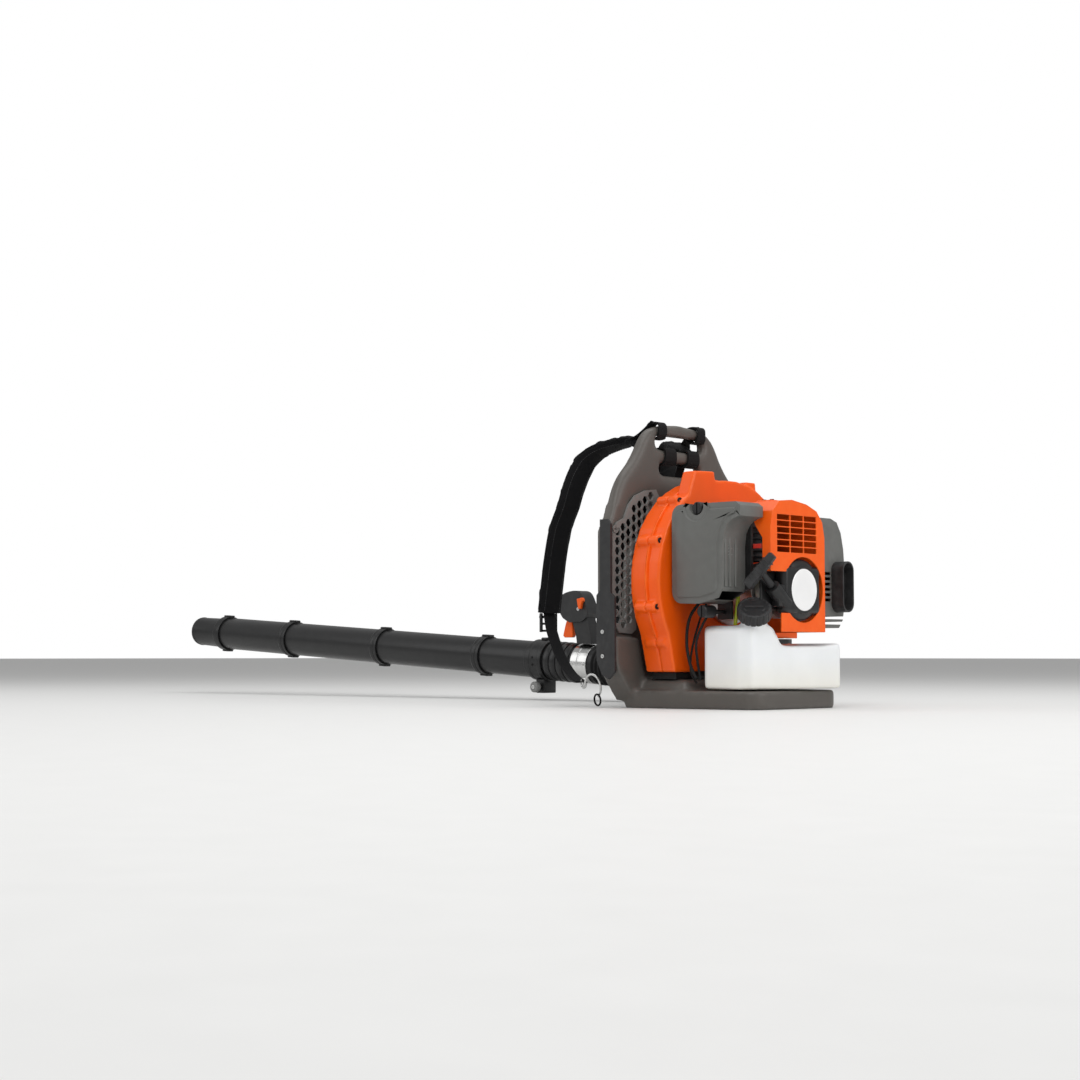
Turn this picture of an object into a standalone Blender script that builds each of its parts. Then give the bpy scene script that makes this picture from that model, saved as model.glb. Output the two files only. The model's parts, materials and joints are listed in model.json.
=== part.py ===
# Backpack leaf blower, standing on its base with the blow tube pointing ahead.
# Metres. +X is behind the wearer, -Y is the wearer's left, +Z is up.
# The origin is the middle of the base's underside.
import bpy
import bmesh
from math import cos, sin, pi, radians, sqrt, hypot
from mathutils import Matrix, Vector

gap = 0.0003  # room between two pieces that touch

# frame
base_front, base_rear = -0.130, 0.141
base_half_front, base_half_rear = 0.150, 0.118
base_height = 0.030
plate_front, plate_back = -0.135, -0.112
frame_half_width = 0.1965
bar_top, bar_low = 0.4955, 0.449
bar_thick = 0.023

# fan casing
crank_z = 0.200
casing_z = 0.2125
casing_radius = 0.178
casing_wall = 0.003
casing_front, casing_seam, casing_back = -0.075, -0.040, -0.012
outlet_y, outlet_z = 0.162, 0.118
outlet_x = (casing_front + casing_back) / 2
foot_half, foot_z = 0.138, 0.0605

# blow tube
duct_radius = 0.0395
tube_radius = 0.0365
tube_wall = 0.0022
tube_sides = 28
tube_root = Vector((-0.300, 0.1745, 0.060))
toe_in, tube_rise = radians(2.6), 0.0612
tube_way = Vector((-cos(toe_in), -sin(toe_in), tube_rise)).normalized()
elbow_end_x = -0.165
band_half = 0.006
tube_start = 0.1555
section_starts = (0.4705, 0.7760, 1.0800)
tip_start, tip_end = 1.317, 1.412

# engine
shroud_back = 0.152
housing_radius = 0.052
cylinder_x, cylinder_bore = 0.045, 0.021

planes = {
    "xy": Matrix(((1, 0, 0), (0, 1, 0), (0, 0, 1))),
    "yz": Matrix(((0, 0, 1), (1, 0, 0), (0, 1, 0))),
    "xz": Matrix(((1, 0, 0), (0, 0, -1), (0, 1, 0))),
}
normals = {"xy": Vector((0, 0, 1)), "yz": Vector((1, 0, 0)), "xz": Vector((0, 1, 0))}

finishes = {  # colour, roughness, metallic
    "frame_grey": ((0.115, 0.110, 0.103), 0.42, 0.15),
    "charcoal": ((0.018, 0.018, 0.019), 0.45, 0.0),
    "grille_grey": ((0.20, 0.20, 0.20), 0.45, 0.1),
    "orange": ((0.86, 0.120, 0.010), 0.38, 0.0),
    "cover_grey": ((0.155, 0.158, 0.152), 0.48, 0.0),
    "black_plastic": ((0.014, 0.014, 0.015), 0.42, 0.0),
    "black_rubber": ((0.010, 0.010, 0.010), 0.75, 0.0),
    "webbing": ((0.008, 0.008, 0.009), 0.85, 0.0),
    "tank_white": ((0.85, 0.86, 0.87), 0.35, 0.0),
    "badge_white": ((0.88, 0.88, 0.88), 0.30, 0.0),
    "black_metal": ((0.020, 0.020, 0.021), 0.50, 0.6),
    "aluminium": ((0.60, 0.60, 0.60), 0.40, 1.0),
    "steel": ((0.55, 0.55, 0.55), 0.30, 1.0),
    "fuel_line": ((0.62, 0.74, 0.03), 0.30, 0.0),
    "red": ((0.70, 0.02, 0.01), 0.40, 0.0),
    "foam": ((0.03, 0.03, 0.03), 0.95, 0.0),
    "knob_grey": ((0.20, 0.20, 0.20), 0.45, 0.0),
}


def clear_scene():
    for obj in list(bpy.data.objects):
        bpy.data.objects.remove(obj, do_unlink=True)


def new_collection(name):
    found = bpy.data.collections.new(name)
    bpy.context.scene.collection.children.link(found)
    return found


def put_in(obj, collection):
    for old in list(obj.users_collection):
        old.objects.unlink(obj)
    collection.objects.link(obj)


def piece(obj, name, finish):
    obj.name = name
    obj.data.name = name
    put_in(obj, parts)
    colour, roughness, metallic = finishes[finish]
    skin = bpy.data.materials.new(name + "_" + finish)
    skin.use_nodes = True
    shader = skin.node_tree.nodes["Principled BSDF"]
    shader.inputs["Base Color"].default_value = (*colour, 1)
    shader.inputs["Roughness"].default_value = roughness
    shader.inputs["Metallic"].default_value = metallic
    obj.data.materials.clear()
    obj.data.materials.append(skin)
    return obj


def tool(obj):
    put_in(obj, cutters)
    obj.hide_render = True
    obj.display_type = "WIRE"
    return obj


def boolean(obj, other, operation):
    tool(other)
    step = obj.modifiers.new(operation.lower(), "BOOLEAN")
    step.operation = operation
    step.solver = "EXACT"
    step.object = other
    return obj


def cut(obj, *others):
    for other in others:
        boolean(obj, other, "DIFFERENCE")
    return obj


def join(obj, *others):
    for other in others:
        boolean(obj, other, "UNION")
    return obj


def as_mesh(obj, weld=True):
    bpy.context.view_layer.update()
    seen = obj.evaluated_get(bpy.context.evaluated_depsgraph_get())
    mesh = bpy.data.meshes.new_from_object(seen)
    if weld:
        bm = bmesh.new()
        bm.from_mesh(mesh)
        bmesh.ops.remove_doubles(bm, verts=bm.verts, dist=0.00002)
        bmesh.ops.recalc_face_normals(bm, faces=bm.faces)
        bm.to_mesh(mesh)
        bm.free()
    solid = bpy.data.objects.new(obj.name, mesh)
    solid.matrix_world = obj.matrix_world
    bpy.context.scene.collection.objects.link(solid)
    bpy.data.objects.remove(obj)
    return solid


def block(low, high):
    low, high = Vector(low), Vector(high)
    bpy.ops.mesh.primitive_cube_add(size=1, location=(low + high) / 2)
    obj = bpy.context.object
    obj.scale = high - low
    bpy.ops.object.transform_apply(location=False, rotation=False, scale=True)
    return obj


def soften(obj, width, segments=2):
    step = obj.modifiers.new("edges", "BEVEL")
    step.width = width
    step.segments = segments
    step.limit_method = "ANGLE"
    step.angle_limit = radians(30)
    return obj


def bar(start, end, radius, sides=24):
    start, end = Vector(start), Vector(end)
    way = end - start
    bpy.ops.mesh.primitive_cylinder_add(
        radius=radius, depth=way.length, vertices=sides, location=(start + end) / 2
    )
    obj = bpy.context.object
    obj.rotation_euler = way.to_track_quat("Z", "Y").to_euler()
    return obj


def turned(profile, origin, way, steps=24, closed=False):
    # profile: (radius, distance along the axis), down the outer side
    mesh = bpy.data.meshes.new("turned")
    points = [(radius, 0, along) for radius, along in profile]
    edges = [(i, i + 1) for i in range(len(points) - 1)]
    if closed:
        edges.append((len(points) - 1, 0))
    mesh.from_pydata(points, edges, [])
    obj = bpy.data.objects.new("turned", mesh)
    bpy.context.scene.collection.objects.link(obj)
    obj.location = origin
    obj.rotation_euler = Vector(way).to_track_quat("Z", "Y").to_euler()
    step = obj.modifiers.new("turn", "SCREW")
    step.steps = step.render_steps = steps
    step.use_merge_vertices = True
    step.merge_threshold = 0.00001
    return as_mesh(obj)


def ring(outer, inner, start, end, origin, way, steps=24):
    profile = [(outer, end), (outer, start), (inner, start), (inner, end)]
    return turned(profile, origin, way, steps, closed=True)


def flat(outline, low, high, plane="yz", holes=()):
    # a flat outline filled and given a thickness, from low to high along the plane's normal
    curve = bpy.data.curves.new("flat", "CURVE")
    curve.dimensions = "2D"
    curve.fill_mode = "BOTH"
    curve.extrude = (high - low) / 2
    for loop in (outline, *holes):
        spline = curve.splines.new("POLY")
        spline.points.add(len(loop) - 1)
        for point, (u, v) in zip(spline.points, loop):
            point.co = (u, v, 0, 1)
        spline.use_cyclic_u = True
    obj = bpy.data.objects.new("flat", curve)
    bpy.context.scene.collection.objects.link(obj)
    place = planes[plane].to_4x4()
    place.translation = normals[plane] * (low + high) / 2
    obj.matrix_world = place
    return as_mesh(obj)


def rod(points, radius, resolution=2, caps=True):
    curve = bpy.data.curves.new("rod", "CURVE")
    curve.dimensions = "3D"
    curve.bevel_depth = radius
    curve.bevel_resolution = resolution
    curve.use_fill_caps = caps
    spline = curve.splines.new("POLY")
    spline.points.add(len(points) - 1)
    for point, place in zip(spline.points, points):
        point.co = (*place, 1)
    obj = bpy.data.objects.new("rod", curve)
    bpy.context.scene.collection.objects.link(obj)
    return as_mesh(obj)


def thicken(obj, wall, offset=-1):
    step = obj.modifiers.new("wall", "SOLIDIFY")
    step.thickness = wall
    step.offset = offset
    step.use_even_offset = True
    return obj


def ribbon(path, width, thickness):
    # a band along the path, its width across Y
    bm = bmesh.new()
    across = Vector((0, width / 2, 0))
    rows = [[bm.verts.new(Vector(place) + across * side) for side in (-1, 1)] for place in path]
    for (a, b), (c, d) in zip(rows, rows[1:]):
        bm.faces.new((a, b, d, c))
    mesh = bpy.data.meshes.new("ribbon")
    bm.to_mesh(mesh)
    bm.free()
    obj = bpy.data.objects.new("ribbon", mesh)
    bpy.context.scene.collection.objects.link(obj)
    return thicken(obj, thickness, 0)


def smooth(points, steps=4):
    # a curve through the points, as a list of more points
    line = [Vector(p) for p in points]
    found = []
    for i in range(len(line) - 1):
        before = line[max(i - 1, 0)]
        start, end = line[i], line[i + 1]
        after = line[min(i + 2, len(line) - 1)]
        for k in range(steps):
            t = k / steps
            found.append(
                (
                    start * 2
                    + (end - before) * t
                    + (before * 2 - start * 5 + end * 4 - after) * t**2
                    + (start * 3 - before - end * 3 + after) * t**3
                )
                / 2
            )
    return [tuple(p) for p in found] + [tuple(line[-1])]


def arc(centre, radius, start, end, count):
    turn = [radians(start + (end - start) * i / count) for i in range(count + 1)]
    return [(centre[0] + radius * cos(a), centre[1] + radius * sin(a)) for a in turn]


def rounded(low, high, radius, count=4):
    corners = (
        ((high[0] - radius, high[1] - radius), 0),
        ((low[0] + radius, high[1] - radius), 90),
        ((low[0] + radius, low[1] + radius), 180),
        ((high[0] - radius, low[1] + radius), 270),
    )
    return [p for place, turn in corners for p in arc(place, radius, turn, turn + 90, count)]


def mirrored(outline):
    return [(-u, v) for u, v in reversed(outline)]


def inside(point, outline):
    within = False
    for (u0, v0), (u1, v1) in zip(outline, outline[1:] + outline[:1]):
        if (v0 > point[1]) != (v1 > point[1]):
            if point[0] < (u1 - u0) * (point[1] - v0) / (v1 - v0) + u0:
                within = not within
    return within


def clear_of(point, outline, room):
    for (u0, v0), (u1, v1) in zip(outline, outline[1:] + outline[:1]):
        length = hypot(u1 - u0, v1 - v0) or 1e-9
        along = ((point[0] - u0) * (u1 - u0) + (point[1] - v0) * (v1 - v0)) / length
        along = min(max(along, 0), length)
        near = (u0 + (u1 - u0) * along / length, v0 + (v1 - v0) * along / length)
        if hypot(point[0] - near[0], point[1] - near[1]) < room:
            return False
    return True


def hexagons(outline, pitch, size, margin):
    # six-sided holes in rows, wherever a whole one fits inside the outline
    low_u, high_u = min(u for u, v in outline), max(u for u, v in outline)
    low_v, high_v = min(v for u, v in outline), max(v for u, v in outline)
    holes = []
    column = 0
    u = low_u
    while u < high_u:
        v = low_v + (pitch / 2 if column % 2 else 0)
        while v < high_v:
            if inside((u, v), outline) and clear_of((u, v), outline, margin):
                holes.append(arc((u, v), size / sqrt(3), 0, 300, 5))
            v += pitch
        u += pitch * sqrt(3) / 2
        column += 1
    return holes


def along_tube(distance):
    return tube_root + tube_way * distance


# ---------------------------------------------------------------- frame


def side_contour():
    foot = [(0.150, 0.012), (0.190, 0.062), (frame_half_width, 0.078)]
    horn = [
        (frame_half_width, 0.300), (0.181, 0.327), (0.169, 0.366), (0.152, 0.395),
        (0.127, 0.421), (0.110, 0.444), (0.098, 0.465), (0.078, 0.4835),
        (0.042, 0.4925), (0.0, bar_top),
    ]
    return foot + smooth(horn, 2)


def grille_outline():
    # the wearer's left side, seen from behind
    return [
        (-0.186, 0.150), (-0.187, 0.200), (-0.186, 0.296), (-0.174, 0.314),
        (-0.156, 0.322), (-0.145, 0.345), (-0.128, 0.362), (-0.100, 0.373),
        (-0.073, 0.376), (-0.064, 0.362), (-0.067, 0.343), (-0.086, 0.315),
        (-0.108, 0.285), (-0.122, 0.251), (-0.129, 0.210), (-0.129, 0.165),
        (-0.126, 0.132), (-0.138, 0.125), (-0.170, 0.127),
    ]


def window_outline():
    return [
        (-0.177, 0.142), (-0.178, 0.295), (-0.148, 0.316), (-0.134, 0.348),
        (-0.100, 0.364), (-0.080, 0.364), (-0.098, 0.317), (-0.119, 0.285),
        (-0.133, 0.245), (-0.138, 0.142),
    ]


def duct_path():
    bend = [
        (outlet_x, outlet_y, 0.105), (-0.049, 0.163, 0.086), (-0.064, 0.166, 0.071),
        (-0.087, 0.170, 0.062), (-0.115, 0.1735, 0.060), (-0.140, tube_root.y, tube_root.z),
    ]
    start = (outlet_x, outlet_y, outlet_z - 2 * gap)
    return [start] + smooth(bend, 3) + [(elbow_end_x, tube_root.y, tube_root.z)]


def make_frame():
    right = side_contour()
    outline = right + mirrored(right)[1:]
    hand_gap = rounded((-0.066, bar_low), (0.066, bar_top - bar_thick), 0.010)
    wrap_slit = rounded((-0.055, 0.404), (0.055, bar_low - bar_thick), 0.008)
    window = window_outline()
    plate = flat(
        outline, plate_front, plate_back, holes=(hand_gap, wrap_slit, window, mirrored(window))
    )
    corner = 0.030
    base_outline = (
        arc((base_front + corner, -base_half_front + corner), corner, 180, 270, 5)
        + arc((base_rear - corner, -base_half_rear + corner), corner, 277, 360, 5)
        + arc((base_rear - corner, base_half_rear - corner), corner, 0, 83, 5)
        + arc((base_front + corner, base_half_front - corner), corner, 90, 180, 5)
    )
    base = soften(flat(base_outline, 0, base_height, "xy"), 0.006)
    plinth = soften(block((-0.1245, -0.132, 0.020), (0.006, 0.118, 0.048)), 0.012, 3)
    foot_outline = [
        (-0.149, 0.013), (-0.110, 0.013), (-0.120, 0.060), (-0.136, 0.119),
        (-0.1950, 0.121), (-0.1950, 0.079), (-0.189, 0.063),
    ]
    foot_back = -0.092
    left_foot = flat(foot_outline, plate_front + 0.001, foot_back)
    right_foot = flat(mirrored(foot_outline), plate_front + 0.001, foot_back)
    frame = join(plate, base, plinth, left_foot, right_foot)
    for x0, x1 in ((-0.108, -0.010), (0.010, 0.112)):
        for y0, y1 in ((-0.100, -0.012), (0.012, 0.100)):
            cut(frame, block((x0, y0, -0.010), (x1, y1, 0.022)))
    cut(frame, block((plate_front - 0.010, -0.112, 0.100), (plate_front + 0.015, 0.112, 0.395)))
    cut(frame, rod([(0.0, outlet_y, 0.200)] + duct_path()[:1], duct_radius + 0.004, 5))
    cut(frame, rod(duct_path() + [(-0.220, tube_root.y, tube_root.z)], duct_radius + 0.004, 5))
    piece(frame, "backpack_frame", "frame_grey")


def make_side_guards():
    outer = frame_half_width + 0.0050
    inner = frame_half_width + 0.0005
    front, back, foot_front, foot_back = -0.123, -0.099, -0.131, -0.090
    strip = [(foot_back, 0.186), (back, 0.193), (back, 0.310), (-0.106, 0.318)]
    strip += [(front, 0.318), (front, 0.198), (foot_front, 0.190)]
    left = [(foot_front, 0.080), (-0.119, 0.056), (-0.104, 0.048), (foot_back, 0.060)] + strip
    right = [(foot_front, 0.118), (foot_back, 0.118)] + strip
    left_guard = flat(left, -outer, -inner, "xz")
    cut(left_guard, *[bar((-0.117, -0.230, z), (-0.117, -0.190, z), 0.003, 12) for z in (0.128, 0.087)])
    piece(left_guard, "side_guard_left", "charcoal")
    piece(flat(right, inner, outer, "xz"), "side_guard_right", "charcoal")


def make_side_grilles():
    outline = grille_outline()
    holes = hexagons(outline, 0.0165, 0.0132, 0.0092)
    back, front = plate_back + gap, plate_back + gap + 0.004
    piece(flat(outline, back, front, holes=holes), "side_grille_left", "grille_grey")
    piece(
        flat(mirrored(outline), back, front, holes=[mirrored(h) for h in holes]),
        "side_grille_right",
        "grille_grey",
    )


def make_back_pad():
    # narrow at the bottom, where the right side clears the outlet elbow
    half = [(0.088, 0.088), (0.118, 0.115), (0.150, 0.160), (0.150, 0.330), (0.105, 0.416)]
    outline = half + [(-y, z) for y, z in reversed(half)]
    piece(flat(outline, -0.168, plate_front - gap), "back_pad", "webbing")


strap_path = [
    (-0.149, 0.045, 0.449), (-0.160, 0.050, 0.4605), (-0.178, 0.058, 0.4680),
    (-0.2147, 0.085, 0.456), (-0.2370, 0.105, 0.4366), (-0.2480, 0.117, 0.4120),
    (-0.2550, 0.127, 0.3820), (-0.2620, 0.133, 0.3500), (-0.2760, 0.138, 0.3120),
    (-0.2870, 0.140, 0.2600), (-0.2955, 0.140, 0.2080), (-0.3026, 0.140, 0.1640),
]
left_webbing_path = [
    (-0.3030, 0.140, 0.159), (-0.288, 0.145, 0.1243), (-0.266, 0.150, 0.089),
    (-0.237, 0.155, 0.0594), (-0.205, 0.160, 0.042),
]
right_webbing_path = [
    (-0.303, 0.125, 0.159), (-0.284, 0.110, 0.124), (-0.245, 0.098, 0.085),
    (-0.195, 0.095, 0.055), (-0.145, 0.094, 0.040),
]


def make_straps():
    for side, name in ((-1, "left"), (1, "right")):
        path = [(x, y * side, z) for x, y, z in smooth(strap_path, 3)]
        strap = ribbon(path, 0.052, 0.012)
        piece(strap, "shoulder_strap_" + name, "webbing")
    left = [(x, -y, z) for x, y, z in smooth(left_webbing_path, 3)]
    right = smooth(right_webbing_path, 3)
    piece(ribbon(left, 0.025, 0.0025), "lower_webbing_left", "webbing")
    piece(ribbon(right, 0.025, 0.0025), "lower_webbing_right", "webbing")


def make_bar_wraps():
    middle_x = (plate_front + plate_back) / 2
    middle_z = bar_low - bar_thick / 2
    half, wall = bar_thick / 2, 0.004
    for y, name in ((-0.031, "left"), (0.031, "right")):
        reach = half + gap
        outer = rounded(
            (middle_x - reach - wall, middle_z - reach - wall),
            (middle_x + reach + wall, middle_z + reach + wall),
            0.006, 3,
        )
        inner = [
            (middle_x + reach, middle_z + reach), (middle_x - reach, middle_z + reach),
            (middle_x - reach, middle_z - reach), (middle_x + reach, middle_z - reach),
        ]
        wrap = flat(outer, y - 0.0135, y + 0.0135, "xz", holes=(inner,))
        piece(wrap, "bar_wrap_" + name, "webbing")


def make_isolators():
    top, low = 0.0600, 0.048 + gap
    for name, y0, y1 in (("left", -0.128, -0.076), ("right", 0.064, 0.112)):
        rubber = block((-0.070, y0, low), (-0.018, y1, top))
        piece(rubber, "isolator_" + name, "black_rubber")


def make_strap_hook():
    # wire snap hook that holds the left webbing to the frame's foot
    hook = [
        (-0.198, -0.165, 0.041), (-0.190, -0.172, 0.034), (-0.180, -0.178, 0.040),
        (-0.172, -0.181, 0.052), (-0.160, -0.182, 0.056), (-0.149, -0.180, 0.050),
        (-0.146, -0.176, 0.038), (-0.150, -0.171, 0.027), (-0.158, -0.168, 0.018),
    ]
    piece(rod(smooth(hook, 3), 0.0019), "strap_hook", "steel")


# ---------------------------------------------------------------- fan


def casing_rim(inset):
    # the curved side, anticlockwise from the outlet's outer edge to the foot's left edge
    radius = casing_radius - inset
    out = outlet_y + duct_radius + 0.002 - inset
    rim = []
    for i in range(24):
        turn = radians(10 * i)
        grown = radius + (out - radius) * max(0, 1 - i / 9)
        rim.append((grown * cos(turn), casing_z + grown * sin(turn)))
    return rim


def casing_solid(low, high):
    tongue = outlet_y - duct_radius - 0.002
    rim = [p for p in casing_rim(0) if p[1] > 0.105]
    outline = [(tongue, outlet_z), (rim[0][0], outlet_z)] + rim
    outline += [(-foot_half, foot_z), (tongue, foot_z)]
    return flat(outline, low, high)


def casing_room(low, high):
    tongue = outlet_y - duct_radius - 0.002 + casing_wall
    radius = casing_radius - casing_wall
    rim = casing_rim(casing_wall)
    outline = [(tongue, outlet_z - 0.010), (rim[0][0], outlet_z - 0.010)] + rim
    outline += arc((0, casing_z), radius, 240, 312, 8)
    return flat(outline, low, high)


def casing_bosses(shell, low, high):
    for turn in (20, 62, 100, 130, 158, 194, 215):
        reach = casing_radius + 0.001 + 0.020 * max(0, 1 - turn / 90)
        place = (reach * cos(radians(turn)), casing_z + reach * sin(radians(turn)))
        join(shell, bar((low, *place), (high, *place), 0.009, 16))
    return shell


def make_casing():
    front = casing_solid(casing_front, casing_seam - gap / 2)
    casing_bosses(front, -0.064, casing_seam - gap / 2 - 0.00005)
    cut(front, casing_room(casing_front + casing_wall, casing_seam + 0.010))
    cut(front, bar((casing_front - 0.01, 0, crank_z), (casing_front + 0.01, 0, crank_z), 0.078, 48))
    piece(front, "volute_front_shell", "orange")
    back = casing_solid(casing_seam + gap / 2, casing_back)
    casing_bosses(back, casing_seam + gap / 2 + 0.00005, -0.020)
    left_block = flat(
        [
            (-0.108, 0.335), (-0.094, 0.372), (-0.082, 0.402), (-0.030, 0.404), (-0.026, 0.375),
            (-0.040, 0.340),
        ],
        casing_seam + gap / 2 + 0.0001, casing_back - 0.0001,
    )
    right_block = block((-0.034, 0.062, 0.360), (-0.016, 0.090, 0.392))
    join(back, left_block, right_block)
    cut(back, casing_room(casing_seam - 0.010, casing_back - casing_wall))
    cut(back, bar((casing_back - 0.01, 0, crank_z), (casing_back + 0.01, 0, crank_z), 0.022, 32))
    piece(back, "volute_rear_shell", "orange")


def make_intake_grille():
    radius = 0.090
    outline = arc((0, crank_z), radius, 0, 352.5, 47)
    holes = hexagons(outline, 0.030, 0.026, 0.0175)
    high = casing_front - gap
    piece(flat(outline, high - 0.003, high, holes=holes), "intake_grille", "black_plastic")


def make_elbow():
    shell = rod(duct_path(), duct_radius, 4, caps=False)
    piece(thicken(shell, tube_wall), "outlet_elbow", "black_plastic")


def make_impeller():
    hub = turned(
        [(0, -0.020), (0.040, -0.020), (0.128, -0.020), (0.128, -0.023), (0.036, -0.024),
         (0.026, -0.052), (0.014, -0.062), (0, -0.062)][::-1],
        (0, 0, crank_z), (1, 0, 0), 32,
    )
    blades = 10
    for i in range(blades):
        turn = 2 * pi * i / blades
        points = []
        for step in range(6):
            radius = 0.022 + 0.104 * step / 5
            lean = turn + 0.75 * step / 5
            points.append((radius * cos(lean), crank_z + radius * sin(lean)))
        thick = [
            (y + 0.0022 * cos(turn + 1.2 + pi / 2), z + 0.0022 * sin(turn + 1.2 + pi / 2))
            for y, z in points
        ]
        join(hub, flat(points + thick[::-1], -0.058, -0.0215))
    cut(hub, bar((-0.080, 0, crank_z), (0.0, 0, crank_z), 0.0093, 24))
    piece(hub, "impeller", "black_plastic")


# ---------------------------------------------------------------- engine


def make_crankcase():
    centre = (0, 0, crank_z)
    profile = [
        (0.060, -0.0105), (0.060, -0.003), (0.046, 0.004), (0.046, 0.078), (0.030, 0.084),
        (0.0105, 0.084), (0.0105, 0.072), (0.033, 0.070), (0.033, 0.018), (0.0105, 0.016),
        (0.0105, -0.0105),
    ]
    case = turned(profile[::-1], centre, (1, 0, 0), 28, closed=True)
    cut(case, bar((cylinder_x, 0, 0.215), (cylinder_x, 0, 0.260), 0.0225, 32))
    piece(case, "crankcase", "aluminium")


def make_crankshaft():
    profile = [
        (0, 0.1085), (0.009, 0.1085), (0.009, 0.064), (0.029, 0.063), (0.029, 0.050),
        (0.012, 0.049), (0.012, 0.039), (0.029, 0.038), (0.029, 0.025), (0.009, 0.024),
        (0.009, -0.0635), (0, -0.0635),
    ]
    piece(turned(profile, (0, 0, crank_z), (1, 0, 0)), "crankshaft", "steel")


def make_cylinder():
    foot, top, fins = 0.2475, 0.318, 6
    low, pitch = foot + 0.007, 0.0100
    profile = [(0, top), (0.040, top)]
    for i in reversed(range(fins)):
        z = low + pitch * i
        profile += [(0.040, z + 0.0025), (0.040, z), (0.026, z - 0.0004), (0.026, z - pitch + 0.0029)]
    profile = profile[:-1] + [(0.026, foot), (cylinder_bore, foot), (cylinder_bore, 0.306), (0, 0.306)]
    barrel = turned(profile, (cylinder_x, 0, 0), (0, 0, 1), 24)
    piece(barrel, "cylinder", "black_metal")


def make_piston():
    profile = [
        (0, 0.296), (0.0205, 0.296), (0.0205, 0.292), (0.0195, 0.2915), (0.0195, 0.290),
        (0.0205, 0.2895), (0.0205, 0.268), (0.017, 0.268), (0.017, 0.289), (0, 0.289),
    ]
    piece(turned(profile, (cylinder_x, 0, 0), (0, 0, 1), 24), "piston", "aluminium")


def make_spark_plug():
    profile = [
        (0, 0.0185), (0.0055, 0.0185), (0.0065, 0.0125), (0.0085, 0.012), (0.0095, 0.0115),
        (0.0095, 0.005), (0.0105, 0.0045), (0.0105, 0), (0, 0),
    ]
    piece(turned(profile, (cylinder_x, 0, 0.318 + gap), (0, 0, 1), 18), "spark_plug", "black_rubber")


def make_flywheel():
    profile = [(0.050, 0.106), (0.050, 0.0885), (0.0093, 0.0885), (0.0093, 0.106)]
    wheel = turned(profile, (0, 0, crank_z), (1, 0, 0), 32, closed=True)
    for i in range(8):
        turn = radians(45 * i)
        place = Vector((0.106, 0.034 * cos(turn), crank_z + 0.034 * sin(turn)))
        cut(wheel, bar(place - Vector((0.005, 0, 0)), place + Vector((0.005, 0, 0)), 0.007, 12))
    piece(wheel, "flywheel", "aluminium")


def make_muffler():
    can = soften(block((0.040, 0.070, 0.172), (0.120, 0.124, 0.296)), 0.010, 3)
    cut(can, block((0.0415, 0.0715, 0.182), (0.1185, 0.1225, 0.286)))
    cut(can, bar((0.110, 0.100, 0.200), (0.130, 0.100, 0.200), 0.008, 16))
    piece(can, "muffler", "steel")


def cover_outline(inset):
    low, top = 0.135 + inset, 0.322 - inset
    side = 0.1395 - inset
    return [
        (0.0635 - (0.010 if inset else 0), low), (0.122, low), (side - 0.006, low + 0.014),
        (side + 0.001, 0.185), (side + 0.001, 0.225), (side - 0.003, 0.270),
        (side - 0.010, 0.298), (0.118 - inset, top - 0.006), (0.100, top),
        (0.0635 - (0.010 if inset else 0), top),
    ]


def make_muffler_cover():
    front, back = 0.024, 0.136
    cover = flat(cover_outline(0), front, back)
    cut(cover, flat(cover_outline(0.0026), front - 0.01, back - 0.0026))
    for z in (0.141, 0.150):
        cut(cover, block((0.086, 0.076, z), (0.150, 0.160, z + 0.005)))
    for i in range(6):
        z = 0.180 + 0.009 * i
        cut(cover, block((0.126, 0.082, z), (0.150, 0.099, z + 0.005)))
    piece(cover, "muffler_cover", "cover_grey")


def make_exhaust_guard():
    radius, centre_y = 0.0160, 0.116
    low, high = 0.1775, 0.2325
    outer = arc((centre_y, high), radius, 0, 180, 12) + arc((centre_y, low), radius, 180, 360, 12)
    inner = arc((centre_y, high), radius - 0.003, 0, 180, 12)
    inner += arc((centre_y, low), radius - 0.003, 180, 360, 12)
    start = 0.136 + gap
    piece(flat(outer, start, start + 0.024, holes=(inner,)), "exhaust_guard", "black_metal")


def shroud_outline(inset):
    low = 0.127 - (0.010 if inset else 0)
    return [
        (-0.089 + inset, low), (0.060 - inset, low), (0.060 - inset, 0.285),
        (0.054 - inset, 0.312), (0.038, 0.330 - inset), (0.010, 0.340 - inset),
        (-0.030, 0.3455 - inset), (-0.064, 0.3425 - inset), (-0.083 + inset, 0.325 - inset / 2),
        (-0.089 + inset, 0.300),
    ]


def make_shroud():
    wall, front = 0.003, 0.012
    shroud = flat(shroud_outline(0), front, shroud_back)
    cut(shroud, flat(shroud_outline(wall), front - 0.01, shroud_back - wall))
    slots, columns = 6, 3
    low, high = 0.257, 0.321
    left, right = -0.072, 0.038
    slat_half = 0.0010
    for row in range(slots):
        for column in range(columns):
            z0 = low + (high - low) * row / slots
            y0 = left + (right - left) * column / columns
            cut(
                shroud,
                block(
                    (shroud_back - 0.02, y0 + slat_half, z0 + slat_half),
                    (
                        shroud_back + 0.01,
                        y0 + (right - left) / columns - slat_half,
                        z0 + (high - low) / slots - slat_half,
                    ),
                ),
            )
    opening = [
        (-0.02, 0.10), (-0.02, 0.36), (0.092, 0.36), (0.106, 0.322), (0.1345, 0.281), (0.1345, 0.10),
    ]
    cut(shroud, flat(opening, -0.110, -0.0475, "xz"))
    cut(shroud, bar((0.12, 0, starter_centre.z), (0.18, 0, starter_centre.z), housing_radius + 0.0025, 40))
    cut(shroud, flat(rounded((-0.120, 0.158), (-0.020, 0.226), 0.008), 0.120, 0.180))
    cut(shroud, block((0.10, -0.120, 0.10), (0.180, -0.060, 0.162)))
    piece(shroud, "engine_shroud", "orange")


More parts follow.
